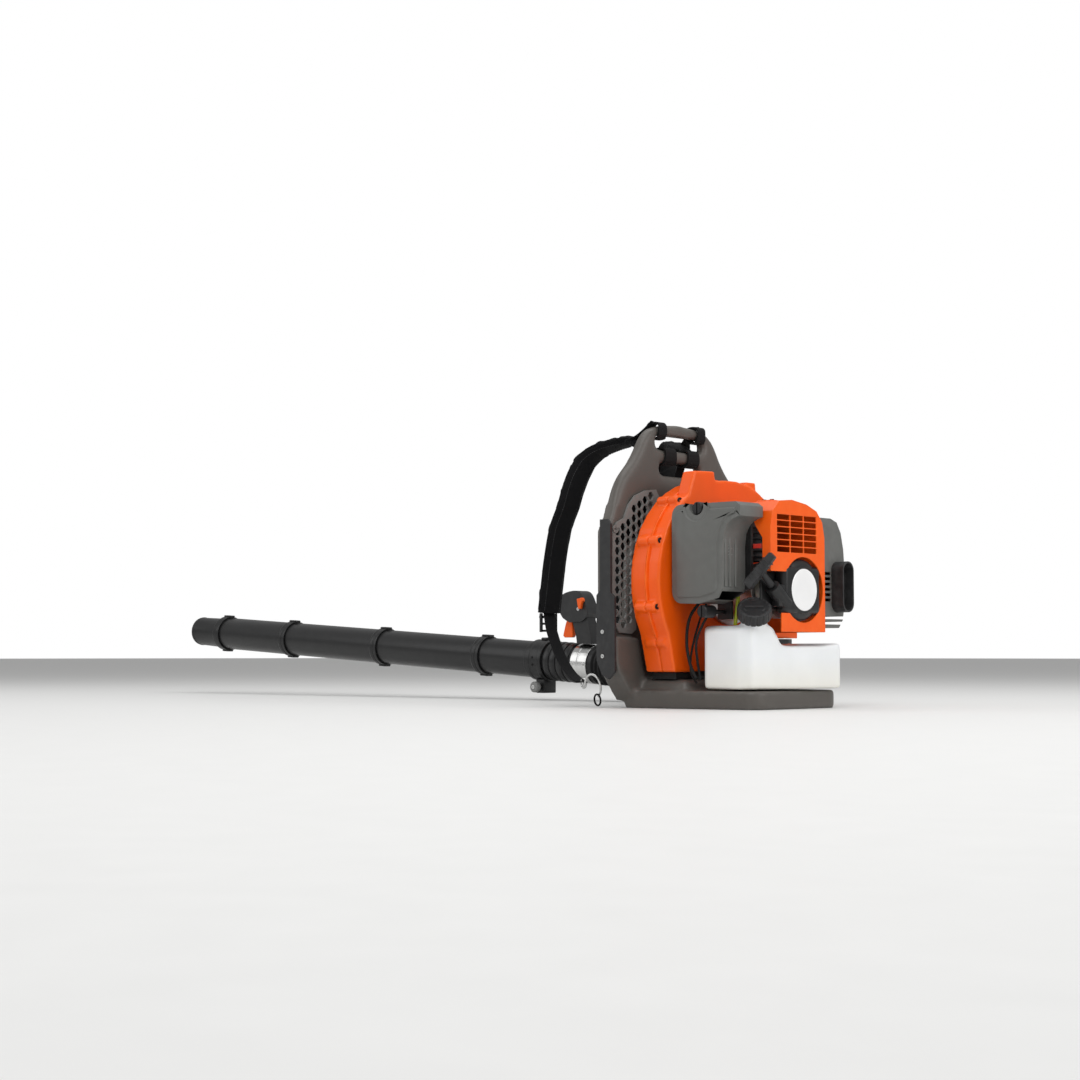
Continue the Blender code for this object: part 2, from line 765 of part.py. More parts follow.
starter_centre = Vector((0.0, 0.0, 0.197))
rope_start = Vector((0.1440, -0.052, 0.1815))
rope_way = Vector((-0.02, -0.76, 0.64)).normalized()


def make_starter_housing():
    profile = [
        (0, 0.1515), (0.034, 0.1515), (0.046, 0.150), (0.051, 0.146), (housing_radius, 0.142),
        (housing_radius, 0.1280), (0.049, 0.1280), (0.049, 0.142), (0.040, 0.147), (0, 0.1480),
    ]
    housing = turned(profile, starter_centre, (1, 0, 0), 32)
    tower = bar(rope_start - rope_way * 0.016, rope_start + rope_way * 0.030, 0.0125, 20)
    fairing = soften(block((0.133, -0.066, 0.168), (0.151, -0.044, 0.205)), 0.004)
    join(housing, tower, fairing)
    cut(housing, bar(rope_start - rope_way * 0.040, rope_start + rope_way * 0.040, 0.0035, 12))
    piece(housing, "starter_housing", "black_plastic")


def make_starter_badge():
    disc = turned(
        [(0, 0.1540), (0.0335, 0.1540), (0.0350, 0.1532), (0.0350, 0.1518), (0, 0.1518)],
        starter_centre, (1, 0, 0), 36,
    )
    piece(disc, "starter_badge", "badge_white")


def make_starter_pulley():
    profile = [
        (0.026, 0.125), (0.026, 0.123), (0.022, 0.122), (0.022, 0.116), (0.026, 0.115),
        (0.026, 0.113), (0.010, 0.113), (0.010, 0.125),
    ]
    wheel = turned(profile, (0, 0, crank_z), (1, 0, 0), 24, closed=True)
    piece(wheel, "starter_pulley", "black_plastic")


def make_starter_grip():
    stem_start = rope_start + rope_way * 0.0305
    middle = stem_start + rope_way * 0.039
    lean = Vector((0.66, 0.14, 0.73)).normalized()
    grip = soften(bar(middle - lean * 0.034, middle + lean * 0.034, 0.0075, 16), 0.003)
    join(grip, bar(stem_start, middle, 0.0065, 16))
    piece(grip, "starter_handle", "charcoal")
    rope = rod([rope_start - rope_way * 0.012, rope_start + rope_way * 0.0302], 0.0018)
    piece(rope, "starter_rope", "webbing")


def make_carburetor():
    body = block((0.026, -0.082, 0.234), (0.066, -0.047, 0.276))
    join(body, bar((0.046, -0.0645, 0.226), (0.046, -0.0645, 0.240), 0.015, 20))
    cut(body, bar((0.046, -0.100, 0.256), (0.046, -0.030, 0.256), 0.008, 20))
    piece(body, "carburetor", "aluminium")
    top = 0.226 - 0.0045
    bulb = turned(
        [(0, top), (0.011, top), (0.010, top - 0.006), (0.006, top - 0.010), (0, top - 0.011)],
        (0.046, -0.0645, 0), (0, 0, 1), 20,
    )
    piece(bulb, "purge_bulb", "tank_white")


def make_air_filter():
    base_front_y, base_back_y = -0.0895, -0.0835
    plate = flat(
        [(-0.006, 0.182), (0.040, 0.178), (0.040, 0.148), (0.070, 0.148), (0.070, 0.180),
         (0.112, 0.200), (0.112, 0.300), (0.100, 0.332), (0.000, 0.332)],
        base_front_y, base_back_y, "xz",
    )
    cut(plate, bar((0.046, -0.100, 0.256), (0.046, -0.070, 0.256), 0.012, 20))
    piece(plate, "air_filter_base", "black_plastic")
    element = flat(
        rounded((0.012, 0.204), (0.082, 0.302), 0.012, 3), -0.124, base_front_y - gap, "xz",
        holes=(rounded((0.024, 0.216), (0.070, 0.290), 0.006, 2),),
    )
    piece(element, "air_filter_element", "foam")
    outline = (
        arc((0.013, 0.194), 0.020, 180, 262, 4)
        + [(0.052, 0.1735), (0.090, 0.182)]
        + [(0.0985, 0.196), (0.1000, 0.225), (0.1000, 0.268)]
        + smooth([(0.103, 0.288), (0.112, 0.303), (0.126, 0.311), (0.137, 0.314)], 2)
        + [(0.1375, 0.331), (0.128, 0.3375), (0.016, 0.3385)]
        + arc((0.012, 0.3195), 0.019, 100, 180, 4)
    )
    cover = flat(outline, -0.150, base_front_y - gap, "xz")
    room = rounded((-0.0035, 0.1795), (0.0965, 0.316), 0.012, 3)
    cut(cover, flat(room, -0.1465, -0.080, "xz"))
    cut(cover, bar((0.046, -0.170, 0.334), (0.046, -0.119, 0.334), 0.0150, 24))
    cut(cover, bar((0.046, -0.130, 0.331), (0.046, -0.080, 0.331), 0.0045, 12))
    piece(cover, "air_filter_cover", "cover_grey")


def make_filter_knobs():
    for name, x, z in (("top", 0.046, 0.331), ("bottom", 0.055, 0.1605)):
        profile = [
            (0, 0.029), (0.009, 0.029), (0.0105, 0.0275), (0.0105, 0.001), (0.0038, 0.0),
            (0.0038, -0.0300), (0, -0.0300),
        ]
        knob = turned(profile, (x, -0.1200, z), (0, -1, 0), 20)
        cut(knob, block((x - 0.0012, -0.152, z - 0.012), (x + 0.0012, -0.146, z + 0.012)))
        piece(knob, "filter_knob_" + name, "black_plastic")


def make_choke_lever():
    lever = flat(
        arc((0.094, 0.268), 0.006, 50, 310, 8)
        + [(0.118, 0.2645), (0.127, 0.264), (0.127, 0.272), (0.118, 0.2715)],
        -0.0830, -0.0795, "xz",
    )
    piece(lever, "choke_lever", "red")


def make_tank():
    plan = [
        (0.026, -0.106), (0.038, -0.120), (0.106, -0.120), (0.128, -0.108), (0.1375, -0.070),
        (0.149, 0.020), (0.149, 0.106), (0.141, 0.114), (0.038, 0.114), (0.026, 0.102),
    ]
    side = (
        [(-0.130, 0.0325), (0.120, 0.0325), (0.120, 0.1100), (0.106, 0.1090)]
        + [(0.060, 0.1045), (-0.030, 0.1045)]
        + smooth([(-0.044, 0.107), (-0.053, 0.120), (-0.060, 0.133)], 3)
        + [(-0.070, 0.1375), (-0.104, 0.1375), (-0.116, 0.133), (-0.130, 0.118)]
    )
    tank = flat(plan, 0.0322, 0.140, "xy")
    boolean(tank, flat(side, 0.0, 0.200), "INTERSECT")
    join(tank, bar(cap_centre - cap_way * 0.026, cap_centre - cap_way * 0.0005, 0.021, 24))
    piece(tank, "fuel_tank", "tank_white")


cap_centre = Vector((0.1222, -0.0957, 0.1520))
cap_way = Vector((0.42, -0.50, 0.76)).normalized()


def make_fuel_cap():
    profile = [
        (0, 0.0225), (0.024, 0.0225), (0.0270, 0.020), (0.0285, 0.004), (0.0270, 0.0),
        (0, 0.0),
    ]
    cap = turned(profile, cap_centre, cap_way, 32)
    piece(cap, "fuel_cap", "charcoal")


def make_fuel_hose():
    route = [
        (0.0700, -0.0785, 0.2330), (0.0725, -0.0780, 0.214), (0.0745, -0.0765, 0.190),
        (0.0720, -0.0775, 0.165), (0.0690, -0.0785, 0.1385),
    ]
    piece(rod(smooth(route, 4), 0.0032), "fuel_hose", "fuel_line")


# ---------------------------------------------------------------- blow tube


def corrugated(start, end, origin, way, ribs):
    wall = 0.0018
    outer, inner = [], []
    for i in range(2 * ribs + 1):
        radius = duct_radius if i % 2 == 0 else duct_radius - 0.0045
        along = start + (end - start) * i / (2 * ribs)
        outer.append((radius, along))
        inner.append((radius - wall, along))
    return turned(outer[::-1] + inner, origin, way, 24, closed=True)


def make_bellows():
    rear_start = -elbow_end_x + 0.0006
    rear_end = -tube_root.x - band_half - gap
    rear = corrugated(0, rear_end - rear_start, (-rear_start, tube_root.y, tube_root.z), (-1, 0, 0), 6)
    piece(rear, "bellows_rear", "black_rubber")
    band = ring(duct_radius + 0.001, duct_radius - 0.0065, -band_half, band_half, tube_root, (-1, 0, 0))
    piece(band, "bellows_band", "black_plastic")
    front = corrugated(band_half + 0.0036, tube_start - gap, tube_root, tube_way, 7)
    piece(front, "bellows_front", "black_rubber")


def make_control_tube():
    end = section_starts[0] - gap
    bore = tube_radius - tube_wall
    profile = [(tube_radius, end), (tube_radius, 0.327)]
    rib_low, rib_high, ribs = 0.214, 0.282, 4
    for i in reversed(range(ribs)):
        low = rib_low + (rib_high - rib_low) * i / ribs
        high = low + (rib_high - rib_low) / ribs - 0.003
        profile += [(tube_radius, high + 0.0005), (0.0393, high), (0.0393, low), (tube_radius, low - 0.0005)]
    profile += [(tube_radius, tube_start), (bore, tube_start), (bore, end)]
    tube = turned(profile, tube_root, tube_way, tube_sides, closed=True)
    piece(tube, "control_tube", "black_plastic")
    clamp = ring(0.0385, tube_radius + gap, 0.168, 0.208, tube_root, tube_way, tube_sides)
    piece(clamp, "handle_clamp", "steel")


def make_swivel_collar():
    collar = ring(0.0410, tube_radius + gap, 0.285, 0.3255, tube_root, tube_way, tube_sides)
    middle = along_tube(0.305)
    lug = block((middle.x - 0.012, 0.1440, 0.013), (middle.x + 0.012, 0.1790, middle.z - 0.0385))
    join(collar, soften(lug, 0.003))
    piece(collar, "swivel_collar", "black_plastic")
    profile = [(0, 0.020), (0.0095, 0.020), (0.0110, 0.0185), (0.0110, 0.003), (0.0070, 0), (0, 0)]
    knob = turned(profile, (middle.x, 0.1440 - gap, 0.0255), (0, -1, 0), 20)
    piece(knob, "swivel_knob", "knob_grey")


def make_tube_sections():
    bore = tube_radius - tube_wall
    ends = section_starts[1:] + (tip_start,)
    for i, (start, end) in enumerate(zip(section_starts, ends)):
        lap = 0.012
        profile = [
            (tube_radius, end - gap), (tube_radius, start + 0.010), (0.0398, start + 0.006),
            (0.0398, start - lap), (tube_radius + gap, start - lap), (tube_radius + gap, start),
            (bore, start + 0.0005), (bore, end - gap),
        ]
        tube = turned(profile, tube_root, tube_way, tube_sides, closed=True)
        piece(tube, "tube_section_%d" % (i + 1), "black_plastic")
    lap = 0.012
    profile = [
        (0.0325, tip_end), (0.0340, tip_start + 0.012), (0.0398, tip_start + 0.006),
        (0.0398, tip_start - lap), (tube_radius + gap, tip_start - lap),
        (tube_radius + gap, tip_start), (0.0315, tip_start + 0.010), (0.0303, tip_end),
    ]
    piece(turned(profile, tube_root, tube_way, tube_sides, closed=True), "nozzle_tip", "black_plastic")


handle_low_y, handle_high_y = 0.1400, 0.1720


def make_control_handle():
    head = smooth(
        [
            (-0.4900, 0.1535), (-0.4800, 0.1580), (-0.4700, 0.1700), (-0.4760, 0.1900),
            (-0.4860, 0.2080), (-0.4990, 0.2150), (-0.5200, 0.2140), (-0.5400, 0.2080),
            (-0.5500, 0.1960), (-0.5480, 0.1780), (-0.5380, 0.1620), (-0.5200, 0.1530),
        ],
        2,
    )
    handle = soften(flat(head, handle_low_y, handle_high_y, "xz"), 0.005, 2)
    stem_base = along_tube(0.188) + Vector((0, 0, 0.0375))
    stem = [
        (-0.5165, 0.160), (-0.5050, 0.125), (-0.5030, stem_base.z + 0.003),
        (-0.4650, stem_base.z + 0.001), (-0.4660, 0.130), (-0.4760, 0.165),
    ]
    join(handle, flat(stem, handle_low_y + 0.004, handle_high_y - 0.004, "xz"))
    cut(handle, turned([(0, 0.215), (0.0388, 0.215), (0.0388, 0.160), (0, 0.160)],
                       tube_root, tube_way, tube_sides))
    cut(handle, block((-0.5560, 0.1495, 0.148), (-0.5175, 0.1625, 0.1685)))
    piece(handle, "control_handle", "charcoal")


def make_trigger():
    outline = [
        (-0.5340, 0.1655), (-0.5410, 0.1500), (-0.5480, 0.1270), (-0.5440, 0.1235),
        (-0.5230, 0.1235), (-0.5205, 0.1270), (-0.5220, 0.1500), (-0.5250, 0.1640),
    ]
    trigger = soften(flat(outline, 0.1510, 0.1610, "xz"), 0.002, 2)
    piece(trigger, "throttle_trigger", "orange")


def make_stop_switch():
    outline = [
        (-0.4930, 0.1985), (-0.4790, 0.2010), (-0.4760, 0.1950), (-0.4810, 0.1900),
        (-0.4830, 0.1790), (-0.4890, 0.1790),
    ]
    switch = flat(outline, handle_low_y - 0.0075, handle_low_y - gap, "xz")
    piece(switch, "stop_switch", "orange")


def pivot(place, *names):
    # each moving piece turns or slides about its own origin
    for name in names:
        moving = bpy.data.objects[name]
        bpy.context.view_layer.update()
        shift = moving.matrix_world.inverted() @ Vector(place)
        moving.data.transform(Matrix.Translation(-shift))
        moving.location = place


def set_pivots():
    pivot(rope_start, "starter_handle", "starter_rope")
    pivot((0.094, -0.08125, 0.268), "choke_lever")
    pivot(cap_centre, "fuel_cap")
    pivot((tube_root.x, tube_root.y, tube_root.z), "bellows_band", "bellows_rear")
    pivot(along_tube(0.080), "bellows_front", "control_tube", "swivel_collar")
    pivot(along_tube(0.188), "handle_clamp", "control_handle")
    pivot((-0.5295, 0.156, 0.163), "throttle_trigger")
    pivot((-0.4845, 0.136, 0.190), "stop_switch")
    for i, start in enumerate(section_starts):
        pivot(along_tube(start), "tube_section_%d" % (i + 1))
    pivot(along_tube(tip_start), "nozzle_tip")


clear_scene()
parts = new_collection("backpack_leaf_blower")
cutters = new_collection("cutters")
make_frame()
make_side_guards()
make_side_grilles()
make_back_pad()
make_straps()
make_bar_wraps()
make_isolators()
make_strap_hook()
make_casing()
make_intake_grille()
make_elbow()
make_impeller()
make_crankcase()
make_crankshaft()
make_cylinder()
make_piston()
make_spark_plug()
make_flywheel()
make_muffler()
make_muffler_cover()
make_exhaust_guard()
make_shroud()
make_starter_housing()
make_starter_badge()
make_starter_pulley()
make_starter_grip()
make_carburetor()
make_air_filter()
make_filter_knobs()
make_choke_lever()
make_tank()
make_fuel_cap()
make_fuel_hose()
make_bellows()
make_control_tube()
make_swivel_collar()
make_tube_sections()
make_control_handle()
make_trigger()
make_stop_switch()
set_pivots()
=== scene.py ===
import bpy
import bmesh
import json
import numpy as np
from math import cos, sin, pi, radians
from mathutils import Matrix, Vector, noise

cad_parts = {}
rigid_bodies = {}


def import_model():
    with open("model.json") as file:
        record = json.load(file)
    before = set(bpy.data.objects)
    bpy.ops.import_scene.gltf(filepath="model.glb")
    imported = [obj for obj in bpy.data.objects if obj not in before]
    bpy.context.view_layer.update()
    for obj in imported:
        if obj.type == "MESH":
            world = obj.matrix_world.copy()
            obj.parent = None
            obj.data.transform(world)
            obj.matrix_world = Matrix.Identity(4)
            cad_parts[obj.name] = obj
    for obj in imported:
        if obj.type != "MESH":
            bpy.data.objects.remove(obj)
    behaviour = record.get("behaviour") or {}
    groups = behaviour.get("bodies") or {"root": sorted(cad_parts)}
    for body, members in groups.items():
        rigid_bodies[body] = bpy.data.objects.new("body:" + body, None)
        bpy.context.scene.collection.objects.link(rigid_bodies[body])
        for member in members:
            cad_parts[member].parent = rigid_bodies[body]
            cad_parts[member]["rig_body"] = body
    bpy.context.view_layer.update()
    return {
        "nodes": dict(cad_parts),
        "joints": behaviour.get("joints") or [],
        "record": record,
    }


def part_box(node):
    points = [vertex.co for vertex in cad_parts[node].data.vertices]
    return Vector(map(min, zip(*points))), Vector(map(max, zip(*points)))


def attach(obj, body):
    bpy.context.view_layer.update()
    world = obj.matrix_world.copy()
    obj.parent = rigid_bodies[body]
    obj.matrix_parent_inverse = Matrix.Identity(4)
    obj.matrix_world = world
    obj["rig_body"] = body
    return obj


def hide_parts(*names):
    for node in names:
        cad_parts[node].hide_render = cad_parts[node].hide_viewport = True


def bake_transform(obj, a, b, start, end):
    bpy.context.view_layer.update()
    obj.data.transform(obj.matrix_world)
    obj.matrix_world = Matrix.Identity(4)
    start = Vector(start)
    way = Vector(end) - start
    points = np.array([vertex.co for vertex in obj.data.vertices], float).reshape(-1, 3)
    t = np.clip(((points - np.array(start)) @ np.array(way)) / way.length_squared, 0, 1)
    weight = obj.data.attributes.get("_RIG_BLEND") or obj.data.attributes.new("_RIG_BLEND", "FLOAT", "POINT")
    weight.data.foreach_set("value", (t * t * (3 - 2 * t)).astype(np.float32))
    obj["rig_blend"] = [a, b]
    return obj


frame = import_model()
nodes = frame["nodes"]
joints = {joint["name"]: joint for joint in frame["joints"]}
scene = bpy.context.scene
print("frame loaded:", len(nodes), "nodes")


# camera, lights and floor
cameraSetup = {"place": (1.9937, -2.4996, 0.089), "heading": 45.5, "rise": 3.557, "lens": 61.67}


def makeCamera():
    data = bpy.data.cameras.new("camera")
    data.lens = cameraSetup["lens"]
    data.sensor_width = 36
    data.clip_start = 0.01
    camera = bpy.data.objects.new("camera", data)
    heading, rise = radians(cameraSetup["heading"]), radians(cameraSetup["rise"])
    ahead = Vector((-cos(heading) * cos(rise), sin(heading) * cos(rise), sin(rise)))
    camera.location = cameraSetup["place"]
    camera.rotation_euler = ahead.to_track_quat("-Z", "Y").to_euler()
    scene.collection.objects.link(camera)
    scene.camera = camera


lampSetup = [  # name, place, size, power
    ("key", (1.6, -2.2, 2.6), 2.2, 46),
    ("left", (-2.4, -2.0, 1.6), 2.0, 16),
    ("engineSide", (2.6, 0.6, 1.3), 1.6, 22),
    ("above", (-0.2, 0.2, 3.0), 3.0, 42),
]


def makeLights():
    for name, place, size, power in lampSetup:
        data = bpy.data.lights.new(name, "AREA")
        data.size, data.energy = size, power
        lamp = bpy.data.objects.new(name, data)
        lamp.location = place
        aim = Vector((-0.1, 0, 0.2)) - Vector(place)
        lamp.rotation_euler = aim.to_track_quat("-Z", "Y").to_euler()
        scene.collection.objects.link(lamp)
    world = bpy.data.worlds.new("studio")
    world.use_nodes = True
    tree = world.node_tree
    background = tree.nodes["Background"]
    background.inputs["Color"].default_value = (1.0, 1.0, 1.0, 1)
    seen = tree.nodes.new("ShaderNodeLightPath").outputs["Is Camera Ray"]
    strength = tree.nodes.new("ShaderNodeMapRange")
    strength.inputs["To Min"].default_value = 0.42
    strength.inputs["To Max"].default_value = 1.0
    tree.links.new(seen, strength.inputs["Value"])
    tree.links.new(strength.outputs["Result"], background.inputs["Strength"])
    scene.view_settings.view_transform = "Standard"
    scene.world = world


# shared shader groups

def newGroup(name, inputs, outputs):
    group = bpy.data.node_groups.new(name, "ShaderNodeTree")
    kinds = {"value": "NodeSocketFloat", "colour": "NodeSocketColor", "vector": "NodeSocketVector"}
    for label, kind, default in inputs:
        socket = group.interface.new_socket(label, in_out="INPUT", socket_type=kinds[kind])
        if default is not None:
            socket.default_value = default
    for label, kind in outputs:
        group.interface.new_socket(label, in_out="OUTPUT", socket_type=kinds[kind])
    return group, group.nodes.new("NodeGroupInput"), group.nodes.new("NodeGroupOutput")


def mathNode(tree, operation, first, second=None):
    node = tree.nodes.new("ShaderNodeMath")
    node.operation = operation
    for place, value in enumerate((first, second)):
        if value is None:
            continue
        if isinstance(value, (int, float)):
            node.inputs[place].default_value = value
        else:
            tree.links.new(value, node.inputs[place])
    return node.outputs[0]


def noiseNode(tree, vector, scale, detail=4):
    node = tree.nodes.new("ShaderNodeTexNoise")
    node.inputs["Detail"].default_value = detail
    tree.links.new(vector, node.inputs["Vector"])
    if isinstance(scale, (int, float)):
        node.inputs["Scale"].default_value = scale
    else:
        tree.links.new(scale, node.inputs["Scale"])
    return node.outputs["Fac"]


def mixColour(tree, share, first, second):
    node = tree.nodes.new("ShaderNodeMix")
    node.data_type = "RGBA"
    tree.links.new(share, node.inputs["Factor"])
    for label, value in (("A", first), ("B", second)):
        socket = [s for s in node.inputs if s.name == label and s.type == "RGBA"][0]
        if isinstance(value, tuple):
            socket.default_value = (*value, 1)
        else:
            tree.links.new(value, socket)
    return [s for s in node.outputs if s.type == "RGBA"][0]


def grainGroup():
    # fine moulded or cast surface: mottled colour, uneven gloss and a grain height
    group, start, end = newGroup(
        "surfaceGrain",
        [("Colour", "colour", None), ("Vector", "vector", None), ("Grain Scale", "value", 900.0),
         ("Mottle", "value", 0.12), ("Gloss Change", "value", 0.10), ("Roughness", "value", 0.4)],
        [("Colour", "colour"), ("Roughness", "value"), ("Height", "value")],
    )
    where = start.outputs["Vector"]
    broad = noiseNode(group, where, 22.0, 5)
    fine = noiseNode(group, where, start.outputs["Grain Scale"], 2)
    bright = group.nodes.new("ShaderNodeHueSaturation")
    change = mathNode(group, "MULTIPLY", mathNode(group, "SUBTRACT", broad, 0.5), start.outputs["Mottle"])
    group.links.new(mathNode(group, "ADD", mathNode(group, "MULTIPLY", change, 2.0), 1.0),
                    bright.inputs["Value"])
    group.links.new(start.outputs["Colour"], bright.inputs["Color"])
    group.links.new(bright.outputs["Color"], end.inputs["Colour"])
    sway = mathNode(group, "MULTIPLY", mathNode(group, "SUBTRACT", broad, 0.5), start.outputs["Gloss Change"])
    group.links.new(mathNode(group, "ADD", sway, start.outputs["Roughness"]), end.inputs["Roughness"])
    group.links.new(fine, end.inputs["Height"])
    return group


def wearGroup():
    # paler, rubbed plastic along the edges, broken up by noise
    group, start, end = newGroup(
        "edgeWear",
        [("Colour", "colour", None), ("Worn Colour", "colour", None), ("Vector", "vector", None),
         ("Edge", "value", 0.0), ("Amount", "value", 0.3)],
        [("Colour", "colour"), ("Mask", "value")],
    )
    patches = noiseNode(group, start.outputs["Vector"], 60.0, 6)
    mask = mathNode(group, "MULTIPLY", start.outputs["Edge"], mathNode(group, "POWER", patches, 2.0))
    mask = mathNode(group, "MULTIPLY", mask, start.outputs["Amount"])
    mask = mathNode(group, "MINIMUM", mask, 1.0)
    mixed = mixColour(group, mask, start.outputs["Colour"], start.outputs["Worn Colour"])
    group.links.new(mixed, end.inputs["Colour"])
    group.links.new(mask, end.inputs["Mask"])
    return group


def weaveGroup():
    # over and under threads across a strap; Vector is in metres, or UV in metres; Shade is the thread relief
    # as a painted shade value, low in the dips and high on the crowns
    group, start, end = newGroup(
        "weave",
        [("Vector", "vector", None), ("Thread", "value", 0.0016)],
        [("Height", "value"), ("Shade", "value")],
    )
    split = group.nodes.new("ShaderNodeSeparateXYZ")
    group.links.new(start.outputs["Vector"], split.inputs[0])
    waves = []
    for axis in ("X", "Y", "Z"):
        step = mathNode(group, "DIVIDE", split.outputs[axis], start.outputs["Thread"])
        waves.append(mathNode(group, "SINE", mathNode(group, "MULTIPLY", step, pi)))
    crossed = mathNode(group, "MULTIPLY", waves[0], waves[1])
    lifted = mathNode(group, "ADD", crossed, mathNode(group, "MULTIPLY", waves[2], 0.6))
    height = mathNode(group, "ADD", mathNode(group, "MULTIPLY", lifted, 0.4), 0.5)
    group.links.new(height, end.inputs["Height"])
    group.links.new(mathNode(group, "MINIMUM", mathNode(group, "MAXIMUM", height, 0.0), 1.0),
                    end.inputs["Shade"])
    return group


grain, wear, weave = grainGroup(), wearGroup(), weaveGroup()


# materials
plasticFinishes = {  # colour, worn colour, roughness, grain scale, bump in metres, metallic, coat
    "frame_grey": ((0.095, 0.086, 0.077), (0.21, 0.20, 0.19), 0.40, 1400, 0.00006, 0.0, 0.05),
    "charcoal": ((0.018, 0.018, 0.019), (0.08, 0.08, 0.08), 0.42, 1500, 0.00005, 0.0, 0.05),
    "grille_grey": ((0.185, 0.183, 0.176), (0.32, 0.32, 0.31), 0.42, 1200, 0.00005, 0.0, 0.05),
    "orange": ((0.88, 0.098, 0.0), (0.95, 0.20, 0.03), 0.36, 1800, 0.00003, 0.0, 0.06),
    "cover_grey": ((0.120, 0.122, 0.115), (0.24, 0.24, 0.23), 0.46, 1100, 0.00008, 0.0, 0.0),
    "black_plastic": ((0.008, 0.008, 0.0085), (0.05, 0.05, 0.05), 0.36, 1500, 0.00004, 0.0, 0.12),
    "black_rubber": ((0.006, 0.006, 0.006), (0.03, 0.03, 0.03), 0.62, 700, 0.00008, 0.0, 0.0),
    "badge_white": ((0.88, 0.88, 0.88), (0.70, 0.70, 0.70), 0.24, 2000, 0.00001, 0.0, 0.35),
    "red": ((0.66, 0.020, 0.012), (0.80, 0.20, 0.15), 0.36, 1800, 0.00003, 0.0, 0.15),
    "knob_grey": ((0.21, 0.21, 0.205), (0.36, 0.36, 0.35), 0.42, 1400, 0.00005, 0.0, 0.0),
    "foam": ((0.035, 0.035, 0.033), (0.07, 0.07, 0.07), 0.95, 420, 0.00035, 0.0, 0.0),
    "black_metal": ((0.022, 0.022, 0.023), (0.22, 0.22, 0.22), 0.48, 600, 0.00008, 0.55, 0.0),
    "aluminium": ((0.58, 0.58, 0.57), (0.78, 0.78, 0.77), 0.42, 520, 0.00012, 1.0, 0.0),
    "steel": ((0.62, 0.62, 0.61), (0.82, 0.82, 0.82), 0.24, 900, 0.00003, 1.0, 0.0),
    "darkScrew": ((0.030, 0.030, 0.031), (0.20, 0.20, 0.20), 0.32, 900, 0.00003, 0.8, 0.0),
    "paleScrew": ((0.70, 0.70, 0.69), (0.85, 0.85, 0.84), 0.28, 900, 0.00003, 0.7, 0.0),
}


def startMaterial(name):
    material = bpy.data.materials.new(name)
    material.use_nodes = True
    tree = material.node_tree
    shader = tree.nodes["Principled BSDF"]
    where = tree.nodes.new("ShaderNodeTexCoord").outputs["Object"]
    return material, tree, shader, where


def addBump(tree, shader, height, distance):
    bump = tree.nodes.new("ShaderNodeBump")
    bump.inputs["Distance"].default_value = distance
    tree.links.new(height, bump.inputs["Height"])
    tree.links.new(bump.outputs["Normal"], shader.inputs["Normal"])


def placeGroup(tree, group, values, vector=None):
    node = tree.nodes.new("ShaderNodeGroup")
    node.node_tree = group
    for label, value in values.items():
        if isinstance(value, bpy.types.NodeSocket):
            tree.links.new(value, node.inputs[label])
        else:
            node.inputs[label].default_value = (*value, 1) if isinstance(value, tuple) else value
    if vector is not None:
        tree.links.new(vector, node.inputs["Vector"])
    return node


def plasticMaterial(name, settings):
    colour, worn, rough, grainScale, bump, metallic, coat = settings
    material, tree, shader, where = startMaterial(name)
    surface = placeGroup(tree, grain, {"Colour": colour, "Grain Scale": float(grainScale),
                                       "Roughness": rough, "Mottle": 0.10}, where)
    edge = tree.nodes.new("ShaderNodeAttribute")
    edge.attribute_name = "edge"
    rubbed = placeGroup(tree, wear, {"Colour": surface.outputs["Colour"], "Worn Colour": worn,
                                     "Edge": edge.outputs["Fac"], "Amount": 1.1}, where)
    tree.links.new(rubbed.outputs["Colour"], shader.inputs["Base Color"])
    tree.links.new(surface.outputs["Roughness"], shader.inputs["Roughness"])
    shader.inputs["Metallic"].default_value = metallic
    shader.inputs["Coat Weight"].default_value = coat
    shader.inputs["Coat Roughness"].default_value = 0.2
    shader.inputs["Specular IOR Level"].default_value = 0.5 if metallic else 0.32
    addBump(tree, shader, surface.outputs["Height"], bump)
    return material


def tankMaterial():
    # milky polyethylene: light soaks in, and the lower part looks creamier
    material, tree, shader, where = startMaterial("tank_white")
    split = tree.nodes.new("ShaderNodeSeparateXYZ")
    tree.links.new(where, split.inputs[0])
    low = mathNode(tree, "SUBTRACT", 1.0, mathNode(tree, "DIVIDE", split.outputs["Z"], 0.085))
    share = mathNode(tree, "MULTIPLY", mathNode(tree, "MAXIMUM", low, 0.0), 0.7)
    tint = mixColour(tree, share, (0.84, 0.86, 0.87), (0.82, 0.76, 0.60))
    surface = placeGroup(tree, grain, {"Colour": tint, "Grain Scale": 500.0, "Roughness": 0.34,
                                       "Mottle": 0.05}, where)
    tree.links.new(surface.outputs["Colour"], shader.inputs["Base Color"])
    tree.links.new(surface.outputs["Roughness"], shader.inputs["Roughness"])
    shader.inputs["Subsurface Weight"].default_value = 0.35
    shader.inputs["Subsurface Radius"].default_value = (0.02, 0.02, 0.018)
    shader.inputs["Subsurface Scale"].default_value = 0.4
    addBump(tree, shader, surface.outputs["Height"], 0.00006)
    return material


def fuelLineMaterial():
    material, tree, shader, where = startMaterial("fuel_line")
    surface = placeGroup(tree, grain, {"Colour": (0.58, 0.68, 0.03), "Grain Scale": 300.0,
                                       "Roughness": 0.22}, where)
    tree.links.new(surface.outputs["Colour"], shader.inputs["Base Color"])
    tree.links.new(surface.outputs["Roughness"], shader.inputs["Roughness"])
    shader.inputs["Transmission Weight"].default_value = 0.35
    return material


